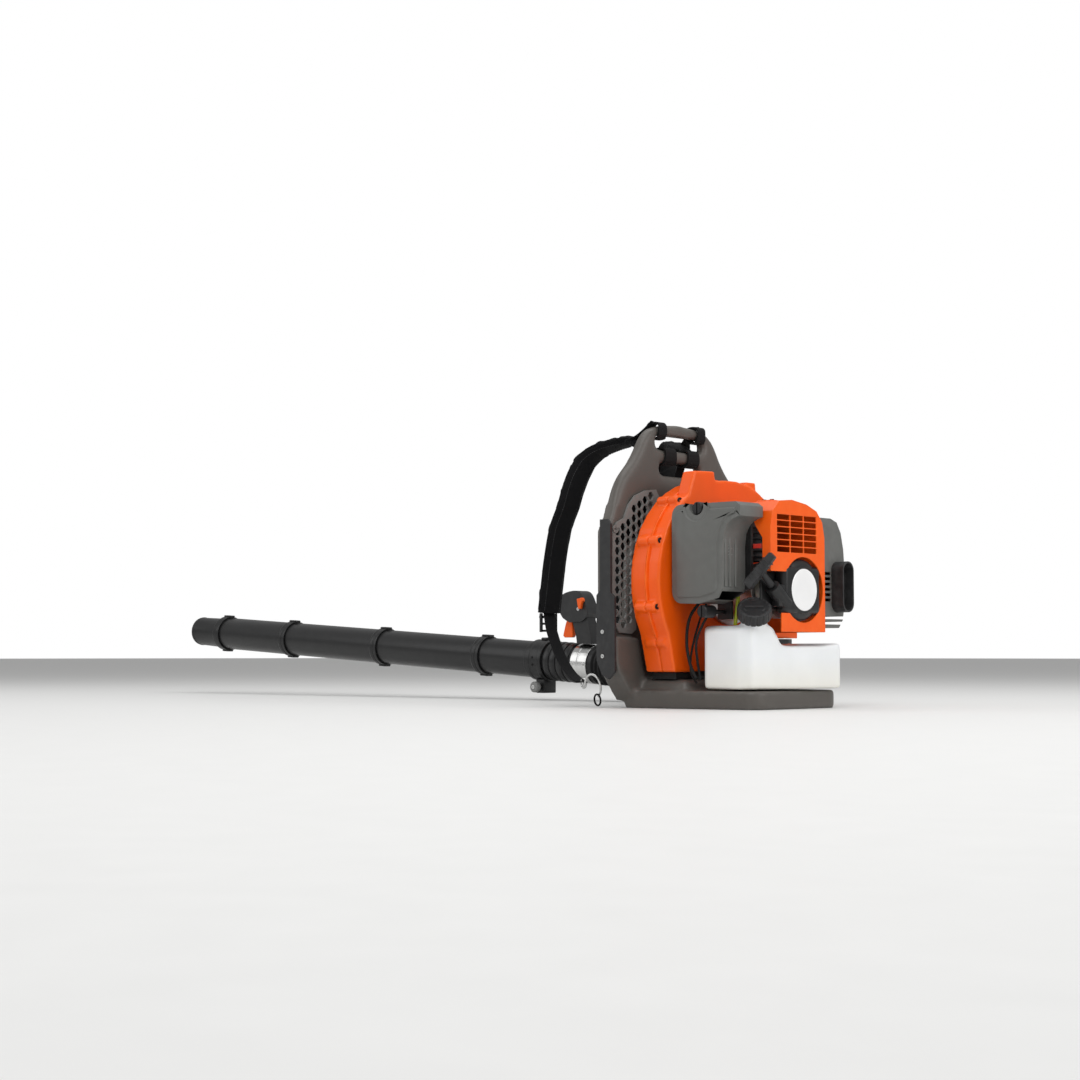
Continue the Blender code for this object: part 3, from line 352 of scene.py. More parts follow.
def fabricMaterial(name, colour, thread, bump, sheen, onUv=False):
    material, tree, shader, where = startMaterial(name)
    if onUv:
        where = tree.nodes.new("ShaderNodeUVMap").outputs["UV"]
    cloth = placeGroup(tree, weave, {"Thread": thread}, where)
    surface = placeGroup(tree, grain, {"Colour": colour, "Grain Scale": 900.0, "Roughness": 0.82,
                                       "Mottle": 0.35, "Gloss Change": 0.16}, where)
    # painted highlight on the thread crowns and painted shade in the dips: the weave's relief is mixed into
    # the cloth colour
    threadCrownHighlight = tuple(min(1.0, part * 2.6 + 0.004) for part in colour)
    tint = mixColour(tree, mathNode(tree, "MULTIPLY", cloth.outputs["Shade"], 0.55),
                     surface.outputs["Colour"], threadCrownHighlight)
    tree.links.new(tint, shader.inputs["Base Color"])
    tree.links.new(surface.outputs["Roughness"], shader.inputs["Roughness"])
    shader.inputs["Sheen Weight"].default_value = sheen
    shader.inputs["Sheen Roughness"].default_value = 0.5
    shader.inputs["Specular IOR Level"].default_value = 0.18
    addBump(tree, shader, cloth.outputs["Height"], bump)
    return material


def makeMaterials():
    made = {name: plasticMaterial(name, settings) for name, settings in plasticFinishes.items()}
    made["tank_white"] = tankMaterial()
    made["fuel_line"] = fuelLineMaterial()
    made["webbing"] = fabricMaterial("webbing", (0.0045, 0.0045, 0.005), 0.0011, 0.00025, 0.03, True)
    made["strapCloth"] = fabricMaterial("strapCloth", (0.0040, 0.0040, 0.0045), 0.0009, 0.00015, 0.03, True)
    made["padCloth"] = fabricMaterial("padCloth", (0.0045, 0.0045, 0.0050), 0.0014, 0.0002, 0.04)
    made["velcro"] = fabricMaterial("velcro", (0.0030, 0.0030, 0.0034), 0.0007, 0.0003, 0.04)
    made["thread"] = fabricMaterial("thread", (0.035, 0.035, 0.036), 0.0004, 0.0002, 0.2)
    material, tree, shader, where = startMaterial("floor")
    surface = placeGroup(tree, grain, {"Colour": (0.80, 0.80, 0.79), "Grain Scale": 160.0,
                                       "Roughness": 0.55, "Mottle": 0.02}, where)
    tree.links.new(surface.outputs["Colour"], shader.inputs["Base Color"])
    tree.links.new(surface.outputs["Roughness"], shader.inputs["Roughness"])
    made["floor"] = material
    return made


# mesh helpers

def newPiece(name, mesh, finish):
    piece = bpy.data.objects.new(name, mesh)
    scene.collection.objects.link(piece)
    mesh.materials.clear()
    mesh.materials.append(materials[finish])
    return piece


def settle(piece, modifiers=True):
    # modifiers made plain, and the piece's place moved into its mesh
    bpy.context.view_layer.update()
    if modifiers:
        mesh = bpy.data.meshes.new_from_object(piece.evaluated_get(bpy.context.evaluated_depsgraph_get()))
        finish = piece.data.materials[0]
        piece.modifiers.clear()
        piece.data = mesh
        mesh.materials.clear()
        mesh.materials.append(finish)
    piece.data.transform(piece.matrix_world)
    piece.matrix_world = Matrix.Identity(4)
    return piece


def markEdges(mesh):
    # the edge attribute is 1 where faces turn sharply, 0 on flats
    shape = bmesh.new()
    shape.from_mesh(mesh)
    values = []
    for vertex in shape.verts:
        turns = [edge.calc_face_angle(0.0) for edge in vertex.link_edges if edge.is_manifold]
        values.append(min(1.0, max(turns, default=0.0) / 0.9))
    shape.free()
    attribute = mesh.attributes.get("edge") or mesh.attributes.new("edge", "FLOAT", "POINT")
    attribute.data.foreach_set("value", values)


def shade(piece, angle=38):
    piece.data.shade_smooth()
    piece.data.set_sharp_from_angle(angle=radians(angle))
    return piece


def refine(node, finish, width=0.0012, segments=2, angle=32):
    # the CAD node's shape with its faces merged and its edges rounded
    mesh = nodes[node].data.copy()
    shape = bmesh.new()
    shape.from_mesh(mesh)
    bmesh.ops.remove_doubles(shape, verts=shape.verts, dist=0.00002)
    bmesh.ops.dissolve_limit(shape, angle_limit=radians(0.1), verts=shape.verts, edges=shape.edges)
    shape.to_mesh(mesh)
    shape.free()
    for attribute in [a for a in mesh.attributes if a.name == "custom_normal"]:
        mesh.attributes.remove(attribute)
    piece = newPiece(node + "_skin", mesh, finish)
    bevel = piece.modifiers.new("rounding", "BEVEL")
    bevel.width, bevel.segments = width, segments
    bevel.limit_method, bevel.angle_limit = "ANGLE", radians(angle)
    bevel.use_clamp_overlap = True
    settle(piece)
    markEdges(piece.data)
    shade(piece)
    normals = piece.modifiers.new("flats", "WEIGHTED_NORMAL")
    normals.keep_sharp = True
    settle(piece)
    body = nodes[node]["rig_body"]
    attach(piece, body)
    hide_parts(node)
    return piece


def makeStage():
    size = 40.0
    mesh = bpy.data.meshes.new("floor")
    shape = bmesh.new()
    bmesh.ops.create_grid(shape, x_segments=4, y_segments=4, size=size)
    shape.to_mesh(mesh)
    shape.free()
    floor = newPiece("floor", mesh, "floor")
    floor.location = (0, 0, -0.0005)


slotOf = {part["node"]: part["material_slot"] for part in frame["record"]["subparts"]}
materials = makeMaterials()
makeCamera()
makeLights()
makeStage()
print("studio and materials ready")

# more mesh helpers

def smoothPath(points, steps=6):
    # a curve through the points
    line = [Vector(point) for point in points]
    found = []
    for place in range(len(line) - 1):
        before, start = line[max(place - 1, 0)], line[place]
        end, after = line[place + 1], line[min(place + 2, len(line) - 1)]
        for step in range(steps):
            t = step / steps
            bend = (before * 2 - start * 5 + end * 4 - after) * t**2
            twist = (start * 3 - before - end * 3 + after) * t**3
            found.append((start * 2 + (end - before) * t + bend + twist) / 2)
    return found + [line[-1]]


def finishPiece(name, shape, finish, body, angle=38, edges=True):
    # a bmesh made into a piece that rides on a body
    bmesh.ops.remove_doubles(shape, verts=shape.verts, dist=0.000005)
    bmesh.ops.recalc_face_normals(shape, faces=shape.faces)
    mesh = bpy.data.meshes.new(name)
    shape.to_mesh(mesh)
    shape.free()
    piece = newPiece(name, mesh, finish)
    if edges:
        markEdges(mesh)
    shade(piece, angle)
    if body:
        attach(piece, body)
    return piece


def softProfile(profile, radius, steps=3, closed=True):
    # a profile with each corner rounded
    points = [Vector(point) for point in profile]
    count, made = len(points), []
    for place, point in enumerate(points):
        if not closed and place in (0, count - 1):
            made.append(tuple(point))
            continue
        back, ahead = points[place - 1] - point, points[(place + 1) % count] - point
        reach = min(radius, back.length * 0.45, ahead.length * 0.45)
        start, end = point + back.normalized() * reach, point + ahead.normalized() * reach
        for step in range(steps + 1):
            t = step / steps
            made.append(tuple(start * (1 - t) ** 2 + point * 2 * t * (1 - t) + end * t**2))
    return made


def turnedShape(shape, profile, origin, way, steps=72, closed=False, flutes=0, depth=0.0):
    # a profile of (radius, distance along) turned about a line; flutes press grooves into it
    way = Vector(way).normalized()
    side = way.orthogonal().normalized()
    other = way.cross(side)
    rings = []
    for radius, along in profile:
        ring = []
        for step in range(steps):
            turn = 2 * pi * step / steps
            reach = radius
            if flutes:
                reach = radius - depth * max(0.0, cos(turn * flutes)) ** 2 * min(1.0, radius / 0.02)
            ring.append(shape.verts.new(Vector(origin) + way * along
                                        + (side * cos(turn) + other * sin(turn)) * reach))
        rings.append(ring)
    pairs = list(zip(rings, rings[1:])) + ([(rings[-1], rings[0])] if closed else [])
    for first, second in pairs:
        for step in range(steps):
            after = (step + 1) % steps
            shape.faces.new((first[step], first[after], second[after], second[step]))
    return rings


def turnedPiece(name, profile, origin, way, finish, body, radius=0.0006, steps=72, closed=False,
                flutes=0, depth=0.0):
    shape = bmesh.new()
    rounded = softProfile(profile, radius, 3, closed)
    turnedShape(shape, rounded, origin, way, steps, closed, flutes, depth)
    return finishPiece(name, shape, finish, body)


def blockShape(shape, low, high, turn=None):
    low, high = Vector(low), Vector(high)
    place = Matrix.Translation((low + high) / 2)
    if turn:
        place = place @ turn
    made = bmesh.ops.create_cube(shape, size=1, matrix=place @ Matrix.Diagonal((*(high - low), 1)))
    return made["verts"]


def softBlocks(name, boxes, finish, body, width=0.0015, segments=3):
    shape = bmesh.new()
    for low, high in boxes:
        blockShape(shape, low, high)
    bmesh.ops.bevel(shape, geom=shape.edges[:], offset=width, segments=segments, affect="EDGES",
                    profile=0.5)
    return finishPiece(name, shape, finish, body)


def tubeShape(shape, path, radius, sides=12):
    # a round rod along the path with flat capped ends
    turnAxis = Vector((0, 0, 1))
    rows = []
    count = len(path)
    for place, point in enumerate(path):
        ahead = (path[min(place + 1, count - 1)] - path[max(place - 1, 0)]).normalized()
        across = ahead.cross(turnAxis)
        across = across.normalized() if across.length > 0.05 else ahead.orthogonal().normalized()
        if rows and across.dot(lastAcross) < 0:
            across = -across
        lastAcross = across
        lift = across.cross(ahead)
        rows.append([shape.verts.new(point + (across * cos(2 * pi * k / sides)
                                              + lift * sin(2 * pi * k / sides)) * radius)
                     for k in range(sides)])
    for first, second in zip(rows, rows[1:]):
        for k in range(sides):
            after = (k + 1) % sides
            shape.faces.new((first[k], first[after], second[after], second[k]))
    shape.faces.new(rows[0][::-1])
    shape.faces.new(rows[-1])


def tubePiece(name, points, radius, finish, body, sides=14, steps=6):
    shape = bmesh.new()
    tubeShape(shape, smoothPath(points, steps), radius, sides)
    return finishPiece(name, shape, finish, body, edges=False)


def bandPiece(name, path, width, thickness, acrossAt, finish, body, plump=0.0, crease=0.0,
              edgeRoll=0.0, seed=0.0):
    # a strap along the path; plump rounds its section, crease wrinkles it, edgeRoll pipes its edges
    shape = bmesh.new()
    sides = 28
    uvLayer = shape.loops.layers.uv.new("UVMap")
    rows, along, run = [], [], 0.0
    count = len(path)
    for place, point in enumerate(path):
        if place:
            run += (point - path[place - 1]).length
        along.append(run)
        ahead = (path[min(place + 1, count - 1)] - path[max(place - 1, 0)]).normalized()
        across = acrossAt(place / (count - 1))
        across = (across - ahead * across.dot(ahead)).normalized()
        out = across.cross(ahead).normalized()
        row = []
        for k in range(sides):
            turn = 2 * pi * k / sides
            u, v = cos(turn), sin(turn)
            square = 0.35 if plump == 0 else 0.55
            wide = abs(u) ** square * (1 if u > 0 else -1)
            tall = abs(v) ** (0.30 + 0.45 * plump) * (1 if v > 0 else -1)
            ripple = 0.0
            if crease:
                spot = Vector((run * 46, wide * 1.6 + seed, seed * 3))
                ripple = crease * (noise.noise(spot) + 0.5 * noise.noise(spot * 2.3))
                ripple -= crease * 1.1 * max(0.0, cos(run * 150 + seed + wide * 1.2)) ** 10
            side = width / 2 * wide * (1 + (ripple / width * 2.2 if abs(u) > 0.7 else 0))
            high = thickness / 2 * tall * (1 - 0.28 * plump * abs(wide) ** 3) + ripple * (1 if v > 0 else 0.5)
            if edgeRoll and 0.80 < abs(wide) <= 0.93:
                high -= edgeRoll * (1 if v > 0 else -1)
            row.append(shape.verts.new(point + across * side + out * high))
        rows.append(row)
    for place, (first, second) in enumerate(zip(rows, rows[1:])):
        for k in range(sides):
            after = (k + 1) % sides
            face = shape.faces.new((first[k], first[after], second[after], second[k]))
            for loop, (where, turn) in zip(face.loops, ((place, k), (place, k + 1), (place + 1, k + 1),
                                                        (place + 1, k))):
                loop[uvLayer].uv = (along[where], width * 0.5 * cos(2 * pi * turn / sides))
    shape.faces.new(rows[0][::-1])
    shape.faces.new(rows[-1])
    return finishPiece(name, shape, finish, body, angle=60, edges=False)


# geometry node trees for what repeats

class TreeBuilder:
    # adds nodes to a tree and links them
    def __init__(self, name, inputs):
        self.tree = bpy.data.node_groups.new(name, "GeometryNodeTree")
        kinds = {"shape": "NodeSocketGeometry", "value": "NodeSocketFloat", "count": "NodeSocketInt",
                 "material": "NodeSocketMaterial"}
        self.identifiers = {}
        for label, kind in inputs:
            socket = self.tree.interface.new_socket(label, in_out="INPUT", socket_type=kinds[kind])
            self.identifiers[label] = socket.identifier
        self.tree.interface.new_socket("Geometry", in_out="OUTPUT", socket_type="NodeSocketGeometry")
        self.start = self.tree.nodes.new("NodeGroupInput")
        self.end = self.tree.nodes.new("NodeGroupOutput")

    def add(self, kind, values=None, **settings):
        node = self.tree.nodes.new(kind)
        for label, value in settings.items():
            setattr(node, label, value)
        for label, value in (values or {}).items():
            socket = node.inputs[label]
            if isinstance(value, bpy.types.NodeSocket):
                self.tree.links.new(value, socket)
            else:
                socket.default_value = value
        return node

    def given(self, label):
        return self.start.outputs[label]

    def close(self, shape):
        realized = self.add("GeometryNodeRealizeInstances", {"Geometry": shape})
        painted = self.add("GeometryNodeSetMaterial", {"Geometry": realized.outputs[0],
                                                       "Material": self.given("Material")})
        self.tree.links.new(painted.outputs[0], self.end.inputs[0])
        return self


def screwTree():
    build = TreeBuilder("screwHeads", [("Geometry", "shape"), ("Head Radius", "value"),
                                       ("Head Height", "value"), ("Slot Width", "value"),
                                       ("Material", "material")])
    head = build.add("GeometryNodeMeshCylinder", {"Vertices": 24, "Radius": build.given("Head Radius"),
                                                  "Depth": build.given("Head Height")})
    length = build.add("ShaderNodeMath", {0: build.given("Head Radius"), 1: 1.25}, operation="MULTIPLY")
    size = build.add("ShaderNodeCombineXYZ", {"X": length.outputs[0], "Y": build.given("Slot Width"),
                                              "Z": build.given("Head Height")})
    slotSize = build.add("ShaderNodeCombineXYZ", {"X": build.given("Slot Width"), "Y": length.outputs[0],
                                               "Z": build.given("Head Height")})
    raised = build.add("ShaderNodeMath", {0: build.given("Head Height"), 1: 0.55}, operation="MULTIPLY")
    lift = build.add("ShaderNodeCombineXYZ", {"Z": raised.outputs[0]})
    cutters = []
    for box in (size, slotSize):
        cube = build.add("GeometryNodeMeshCube", {"Size": box.outputs[0]})
        moved = build.add("GeometryNodeTransform", {"Geometry": cube.outputs[0],
                                                    "Translation": lift.outputs[0]})
        cutters.append(moved.outputs[0])
    cut = build.add("GeometryNodeMeshBoolean", operation="DIFFERENCE")
    build.tree.links.new(head.outputs["Mesh"], cut.inputs[0])
    for cutter in cutters:
        build.tree.links.new(cutter, cut.inputs[1])
    facing = build.add("GeometryNodeInputNamedAttribute", {"Name": "facing"}, data_type="FLOAT_VECTOR")
    turned = build.add("FunctionNodeAlignRotationToVector", {"Vector": facing.outputs[0]}, axis="Z")
    placed = build.add("GeometryNodeInstanceOnPoints", {"Points": build.given("Geometry"),
                                                        "Instance": cut.outputs[0],
                                                        "Rotation": turned.outputs[0]})
    return build.close(placed.outputs[0])


def stitchTree():
    build = TreeBuilder("stitches", [("Geometry", "shape"), ("Pitch", "value"), ("Thread Radius", "value"),
                                     ("Stitch Length", "value"), ("Material", "material")])
    curve = build.add("GeometryNodeMeshToCurve", {"Mesh": build.given("Geometry")})
    points = build.add("GeometryNodeCurveToPoints", {"Curve": curve.outputs[0],
                                                     "Length": build.given("Pitch")}, mode="LENGTH")
    thread = build.add("GeometryNodeMeshCylinder", {"Vertices": 6, "Radius": build.given("Thread Radius"),
                                                    "Depth": build.given("Stitch Length")})
    turned = build.add("FunctionNodeAlignRotationToVector", {"Vector": points.outputs["Tangent"]}, axis="Z")
    placed = build.add("GeometryNodeInstanceOnPoints", {"Points": points.outputs["Points"],
                                                        "Instance": thread.outputs["Mesh"],
                                                        "Rotation": turned.outputs[0]})
    return build.close(placed.outputs[0])


def ribbedTree():
    # an open corrugated tube along Z, starting at 0
    build = TreeBuilder("ribbedHose", [("Length", "value"), ("Radius", "value"), ("Depth", "value"),
                                       ("Ribs", "value"), ("Rows", "count"), ("Material", "material")])
    tube = build.add("GeometryNodeMeshCylinder", {"Vertices": 72, "Side Segments": build.given("Rows"),
                                                  "Radius": build.given("Radius"),
                                                  "Depth": build.given("Length")}, fill_type="NONE")
    place = build.add("GeometryNodeInputPosition")
    split = build.add("ShaderNodeSeparateXYZ", {0: place.outputs[0]})
    share = build.add("ShaderNodeMath", {0: split.outputs["Z"], 1: build.given("Length")},
                      operation="DIVIDE")
    moved = build.add("ShaderNodeMath", {0: share.outputs[0], 1: 0.5}, operation="ADD")
    waves = build.add("ShaderNodeMath", {0: moved.outputs[0], 1: build.given("Ribs")},
                      operation="MULTIPLY")
    angle = build.add("ShaderNodeMath", {0: waves.outputs[0], 1: 2 * pi}, operation="MULTIPLY")
    wave = build.add("ShaderNodeMath", {0: angle.outputs[0]}, operation="COSINE")
    lowered = build.add("ShaderNodeMath", {0: wave.outputs[0], 1: 1.0}, operation="SUBTRACT")
    depth = build.add("ShaderNodeMath", {0: lowered.outputs[0], 1: build.given("Depth")},
                      operation="MULTIPLY")
    half = build.add("ShaderNodeMath", {0: depth.outputs[0], 1: 0.5}, operation="MULTIPLY")
    flat = build.add("ShaderNodeCombineXYZ", {"X": split.outputs["X"], "Y": split.outputs["Y"]})
    out = build.add("ShaderNodeVectorMath", {0: flat.outputs[0]}, operation="NORMALIZE")
    push = build.add("ShaderNodeVectorMath", {0: out.outputs[0], "Scale": half.outputs[0]},
                     operation="SCALE")
    shaped = build.add("GeometryNodeSetPosition", {"Geometry": tube.outputs["Mesh"],
                                                   "Offset": push.outputs[0]})
    return build.close(shaped.outputs[0])


def runTree(build, name, mesh, values, finish):
    piece = newPiece(name, mesh, finish)
    modifier = piece.modifiers.new("tree", "NODES")
    modifier.node_group = build.tree
    for label, value in {**values, "Material": materials[finish]}.items():
        modifier[build.identifiers[label]] = value
    settle(piece)
    return piece


def pointsMesh(name, places, edges=False):
    mesh = bpy.data.meshes.new(name)
    links = [(k, k + 1) for k in range(len(places) - 1)] if edges else []
    mesh.from_pydata([tuple(place[0]) if isinstance(place, tuple) else tuple(place) for place in places],
                     links, [])
    if not edges:
        facing = mesh.attributes.new("facing", "FLOAT_VECTOR", "POINT")
        for k, (_, way) in enumerate(places):
            facing.data[k].vector = Vector(way).normalized()
    return mesh


def makeScrews(name, places, radius, finish, body, height=0.0018):
    # places are (point, way the head faces)
    piece = runTree(screws, name, pointsMesh(name, [(Vector(p), w) for p, w in places]),
                    {"Head Radius": radius, "Head Height": height, "Slot Width": radius * 0.28}, finish)
    shade(piece, 30)
    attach(piece, body)
    return piece


def makeStitches(name, path, body):
    piece = runTree(stitches, name, pointsMesh(name, path, True),
                    {"Pitch": 0.0042, "Thread Radius": 0.00042, "Stitch Length": 0.0028}, "thread")
    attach(piece, body)
    return piece


screws, stitches, ribbed = screwTree(), stitchTree(), ribbedTree()


# moulded shells that keep their CAD outline
bevels = {  # rounding in metres
    "side_guard_left": 0.0022, "side_guard_right": 0.0022,
    "side_grille_left": 0.0005, "side_grille_right": 0.0005,
    "intake_grille": 0.0005,
    "engine_shroud": 0.0014, "muffler_cover": 0.0018, "exhaust_guard": 0.0012,
    "starter_housing": 0.0014, "air_filter_base": 0.0010,
    "carburetor": 0.0008, "choke_lever": 0.0006, "crankcase": 0.0010,
    "muffler": 0.0020, "cylinder": 0.0003, "control_handle": 0.0022, "throttle_trigger": 0.0012,
    "stop_switch": 0.0012, "isolator_left": 0.0010, "isolator_right": 0.0010,
    "outlet_elbow": 0.0008, "impeller": 0.0004, "flywheel": 0.0004, "spark_plug": 0.0004,
    "piston": 0.0004, "crankshaft": 0.0005, "starter_pulley": 0.0004, "purge_bulb": 0.0006,
    "filter_knob_top": 0.0006, "filter_knob_bottom": 0.0006, "air_filter_element": 0.0008,
    "fuel_hose": 0.0003,
}
for node, width in bevels.items():
    refine(node, slotOf[node], width, 3 if width > 0.0015 else 2)
print("CAD outlines rounded")


def cleanCopy(node, angle=0.1):
    shape = bmesh.new()
    shape.from_mesh(nodes[node].data)
    bmesh.ops.remove_doubles(shape, verts=shape.verts, dist=0.00002)
    bmesh.ops.dissolve_limit(shape, angle_limit=radians(angle), verts=shape.verts, edges=shape.edges)
    return shape


def takeOver(piece, *names):
    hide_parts(*names)
    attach(piece, nodes[names[0]]["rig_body"])
    return piece


mouldings = {  # grid in metres, softening rounds, more rounds above this height
    "backpack_frame": {"grid": 0.0030, "rounds": 8, "topRounds": 26, "topFrom": 0.345},
    "fuel_tank": {"grid": 0.0024, "rounds": 18, "topRounds": 0, "topFrom": 1.0},
    "volute_front_shell": {"grid": 0.0022, "rounds": 3, "topRounds": 0, "topFrom": 1.0},
    "volute_rear_shell": {"grid": 0.0022, "rounds": 3, "topRounds": 0, "topFrom": 1.0},
}


def mouldedSkin(node):
    # moulded plastic: the CAD shape on an even grid, its edges softened by averaging
    settings = mouldings[node]
    piece = newPiece(node + "_skin", nodes[node].data.copy(), slotOf[node])
    even = piece.modifiers.new("even", "REMESH")
    even.mode, even.voxel_size = "VOXEL", settings["grid"]
    settle(piece)
    mesh = piece.data
    places = np.empty(len(mesh.vertices) * 3)
    mesh.vertices.foreach_get("co", places)
    places = places.reshape(-1, 3)
    links = np.array([tuple(edge.vertices) for edge in mesh.edges])
    counts = np.bincount(links.ravel(), minlength=len(places))[:, None]
    floor = places[:, 2] < 0.0008
    for step in range(settings["rounds"] + settings["topRounds"]):
        total = np.zeros_like(places)
        np.add.at(total, links[:, 0], places[links[:, 1]])
        np.add.at(total, links[:, 1], places[links[:, 0]])
        move = (total / counts - places) * 0.5
        if step >= settings["rounds"]:
            move[places[:, 2] < settings["topFrom"]] = 0
        move[floor, 2] = 0
        places += move
    mesh.vertices.foreach_set("co", places.ravel())
    markEdges(mesh)
    mesh.shade_smooth()
    takeOver(piece, node)


def raisedPanel(node, way, inset, lift, width):
    # the CAD outline with a stepped panel raised on one flat side
    shape = cleanCopy(node)
    way = Vector(way)
    facing = [face for face in shape.faces if face.normal.dot(way) > 0.999]
    level = max(facing, key=lambda face: face.calc_area()).calc_center_median().dot(way)
    flats = [face for face in facing if abs(face.calc_center_median().dot(way) - level) < 0.0002]
    bmesh.ops.inset_region(shape, faces=flats, thickness=inset, depth=0, use_even_offset=True)
    bmesh.ops.inset_region(shape, faces=flats, thickness=lift * 0.8, depth=lift, use_even_offset=True)
    mesh = bpy.data.meshes.new(node + "_skin")
    shape.to_mesh(mesh)
    shape.free()
    piece = newPiece(node + "_skin", mesh, slotOf[node])
    bevel = piece.modifiers.new("rounding", "BEVEL")
    bevel.width, bevel.segments = width, 3
    bevel.limit_method, bevel.angle_limit = "ANGLE", radians(24)
    settle(piece)
    markEdges(piece.data)
    shade(piece, 40)
    takeOver(piece, node)


for name in mouldings:
    mouldedSkin(name)
raisedPanel("air_filter_cover", (0, -1, 0), 0.009, 0.0028, 0.0020)
print("frame and filter cover done")


# blow tube
tubeWay = Vector(joints["section_1_twist"]["axis"]).normalized()
tubeRoot = Vector(joints["tube_tilt"]["pos_m"]) - tubeWay * 0.080
tubeSetup = {"radius": 0.0365, "wall": 0.0022, "collar": 0.0398, "lap": 0.012}


def alongTube(distance):
    return tubeRoot + tubeWay * distance


def distanceOf(joint):
    return (Vector(joints[joint]["pos_m"]) - tubeRoot).dot(tubeWay)


def makeTubes():
    outer, bore = tubeSetup["radius"], tubeSetup["radius"] - tubeSetup["wall"]
    collar, lap = tubeSetup["collar"], tubeSetup["lap"]
    starts = [distanceOf(name) for name in ("section_1_twist", "section_2_twist", "section_3_twist",
                                            "tip_twist")]
    for k in range(3):
        start, end = starts[k], starts[k + 1] - 0.0003
        name = "tube_section_%d" % (k + 1)
        profile = [
            (outer, end), (outer, start + 0.015), (outer + 0.0008, start + 0.0145),
            (outer + 0.0008, start + 0.011), (collar, start + 0.006), (collar, start - 0.002),
            (collar - 0.0009, start - 0.003), (collar - 0.0009, start - 0.005), (collar, start - 0.006),
            (collar, start - lap), (outer + 0.0003, start - lap), (outer + 0.0003, start),
            (bore, start + 0.0005), (bore, end),
        ]
        piece = turnedPiece(name + "_skin", profile, tubeRoot, tubeWay, "black_plastic",
                            "section_%d" % (k + 1), 0.0007, 96, True)
        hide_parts(name)
        makeTabs("section_%d_tabs" % (k + 1), start, "section_%d" % (k + 1))
    start, end = starts[3], (Vector(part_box("nozzle_tip")[0]) - tubeRoot).x / tubeWay.x - 0.0002
    profile = [
        (0.0325, end), (0.0336, end - 0.006), (0.0325, end - 0.007), (0.0342, start + 0.014),
        (collar, start + 0.006), (collar, start - lap), (outer + 0.0003, start - lap),
        (outer + 0.0003, start), (0.0315, start + 0.010), (0.0303, end),
    ]
    piece = turnedPiece("nozzle_tip_skin", profile, tubeRoot, tubeWay, "black_plastic", "tip",
                        0.0007, 96, True)
    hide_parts("nozzle_tip")
    makeTabs("tip_tabs", start, "tip")


def makeTabs(name, start, body):
    # locking lugs above and below a joint ring
    shape = bmesh.new()
    turn = tubeWay.to_track_quat("X", "Z").to_matrix().to_4x4()
    for side in (1, -1):
        middle = alongTube(start - 0.003) + turn.to_3x3() @ Vector((0, 0, side * 0.0402))
        size = Vector((0.011, 0.0085, 0.0022))
        blockShape(shape, middle - size, middle + size, turn)
    bmesh.ops.bevel(shape, geom=shape.edges[:], offset=0.0013, segments=2, affect="EDGES")
    finishPiece(name, shape, "black_plastic", body)


def makeControlTube():
    outer, bore = tubeSetup["radius"], tubeSetup["radius"] - tubeSetup["wall"]
    end, start = distanceOf("section_1_twist") - 0.0003, 0.1555
    profile = [(outer, end), (outer, 0.333), (0.0373, 0.332), (0.0373, 0.3275)]
    ribLow, ribHigh, ribs = 0.214, 0.282, 4
    pitch = (ribHigh - ribLow) / ribs
    for k in reversed(range(ribs)):
        low = ribLow + pitch * k
        profile += [(outer, low + pitch - 0.0022), (0.0393, low + pitch - 0.0035), (0.0398, low + 0.007),
                    (0.0390, low + 0.001), (outer, low)]
    profile += [(outer, start), (bore, start), (bore, end)]
    piece = turnedPiece("control_tube_skin", profile, tubeRoot, tubeWay, "black_plastic", "blow_tube",
                        0.0008, 96, True)
    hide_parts("control_tube")
    band = [(0.0388, 0.168), (0.0388, 0.1885), (0.0381, 0.189), (0.0381, 0.1915), (0.0388, 0.192),
            (0.0388, 0.208), (0.0369, 0.208), (0.0369, 0.168)]
    clamp = turnedPiece("handle_clamp_skin", band, tubeRoot, tubeWay, "steel", "handle",
                        0.0003, 96, True, 24, 0.0002)
    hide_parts("handle_clamp")
    places = [(alongTube(d) + Vector((0, -0.0390, 0)), (0, -1, 0)) for d in (0.173, 0.203)]
    makeScrews("clampScrews", places, 0.0030, "paleScrew", "handle")
    ring = [(0.0396, 0.285), (0.0410, 0.2862), (0.0410, 0.2950), (0.0403, 0.2958), (0.0403, 0.3150),
            (0.0410, 0.3158), (0.0410, 0.3240), (0.0396, 0.3255), (0.0369, 0.3255), (0.0369, 0.285)]
    collar = turnedPiece("swivel_collar_skin", ring, tubeRoot, tubeWay, "black_plastic", "blow_tube",
                         0.0005, 96, True)
    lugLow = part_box("swivel_collar")[0]
    middle = alongTube(0.305)
    softBlocks("collarLug", [((middle.x - 0.012, 0.1442, lugLow.z + 0.0003),
                              (middle.x + 0.012, 0.1785, middle.z - 0.0375)),
                             ((middle.x - 0.008, middle.y - 0.006, middle.z + 0.0395),
                              (middle.x + 0.008, middle.y + 0.006, middle.z + 0.0455))],
               "black_plastic", "blow_tube", 0.0022)
    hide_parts("swivel_collar")
    holes = [(middle + Vector((0, -0.0403, z)), (0, -1, 0.2 * z / 0.01)) for z in (0.006, -0.009)]
    makeScrews("collarPins", holes, 0.0022, "darkScrew", "blow_tube", 0.0012)


